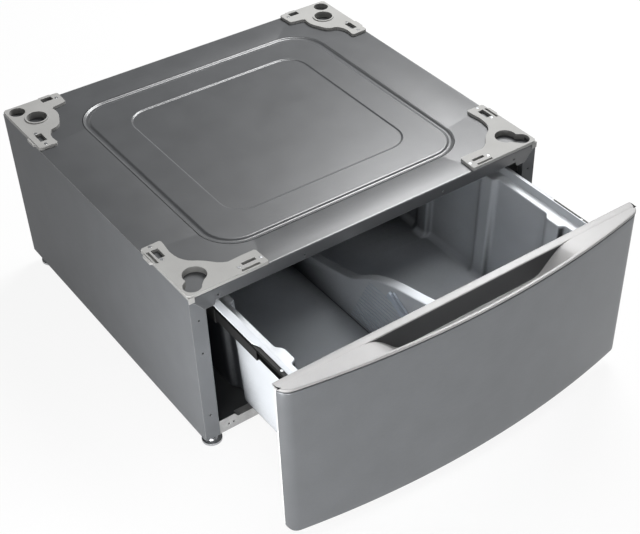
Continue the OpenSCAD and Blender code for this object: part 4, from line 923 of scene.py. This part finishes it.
# Name, place, target and size in metres, power in watts, spread in degrees
LIGHTS = [
    ("sheen", (1.35, 0.85, 2.35), (0.0, -0.1, 0.3), (1.2, 1.2), 96, 180),
    ("side", (-0.85, -0.5, 0.22), (-0.34, -0.18, 0.15), (0.3, 0.3), 1.65, 100),
    ("ledge", (-0.5, -0.42, 0.48), (-0.33, -0.2, 0.22), (0.15, 0.15), 0.55, 180),
    ("front", (-0.9, -1.5, 0.3), (0.0, -0.5, 0.15), (0.5, 0.5), 2.2, 80),
    ("top", (0.0, 0.4, 2.3), (0.0, 0.0, 0.3), (1.2, 1.2), 4, 180),
    ("pocket", (0.1, -0.6, 0.95), (0.0, -0.45, 0.3), (0.6, 0.1), 0.38, 40),
]


def ground_material():
    """Matte white for shadows and bounce, mixed with plain white where a ray looks at it."""
    mat = bpy.data.materials.new("ground")
    mat.use_nodes = True
    tree = mat.node_tree
    tree.nodes.clear()
    link = tree.links.new
    output = tree.nodes.new("ShaderNodeOutputMaterial")
    matte = tree.nodes.new("ShaderNodeBsdfDiffuse")
    matte.inputs["Color"].default_value = (0.8, 0.8, 0.8, 1)
    white = tree.nodes.new("ShaderNodeEmission")
    white.inputs["Color"].default_value = (1, 1, 1, 1)
    path = tree.nodes.new("ShaderNodeLightPath")
    looked = larger(tree, path.outputs["Is Camera Ray"], path.outputs["Is Glossy Ray"])
    looked = larger(tree, looked, path.outputs["Is Transmission Ray"])
    share = tree.nodes.new("ShaderNodeMath")
    share.operation = "MULTIPLY"
    share.inputs[1].default_value = GROUND_WHITE
    link(looked, share.inputs[0])
    mixed = tree.nodes.new("ShaderNodeMixShader")
    link(share.outputs["Value"], mixed.inputs["Fac"])
    link(matte.outputs["BSDF"], mixed.inputs[1])
    link(white.outputs["Emission"], mixed.inputs[2])
    link(mixed.outputs["Shader"], output.inputs["Surface"])
    return mat


def studio_ground():
    """Pale floor and a low wall round it, so that low views have the same background."""
    half = GROUND_HALF
    ring = [(-half, -half), (half, -half), (half, half), (-half, half)]
    points = [(x, y, 0.0) for x, y in ring] + [(x, y, WALL_H) for x, y in ring]
    faces = [(0, 1, 2, 3)] + [(i, i + 4, (i + 1) % 4 + 4, (i + 1) % 4) for i in range(4)]
    mesh = bpy.data.meshes.new("ground")
    mesh.from_pydata(points, [], faces)
    mesh.materials.append(ground_material())
    ground = bpy.data.objects.new("ground", mesh)
    bpy.context.scene.collection.objects.link(ground)


def area_light(name, place, target, size, power, spread):
    data = bpy.data.lights.new(name, "AREA")
    data.shape = "RECTANGLE"
    data.size, data.size_y = size
    data.energy = power
    data.spread = math.radians(spread)
    lamp = bpy.data.objects.new(name, data)
    bpy.context.scene.collection.objects.link(lamp)
    lamp.location = place
    lamp.rotation_mode = "QUATERNION"
    lamp.rotation_quaternion = (Vector(target) - Vector(place)).to_track_quat("-Z", "Y")


def studio_world():
    world = bpy.data.worlds.new("studio")
    bpy.context.scene.world = world
    world.use_nodes = True
    sky = world.node_tree.nodes["Background"]
    sky.inputs["Color"].default_value = (1, 1, 1, 1)
    sky.inputs["Strength"].default_value = WORLD_LIGHT


studio_ground()
for light in LIGHTS:
    area_light(*light)
studio_world()
bpy.context.scene.view_settings.view_transform = "Standard"
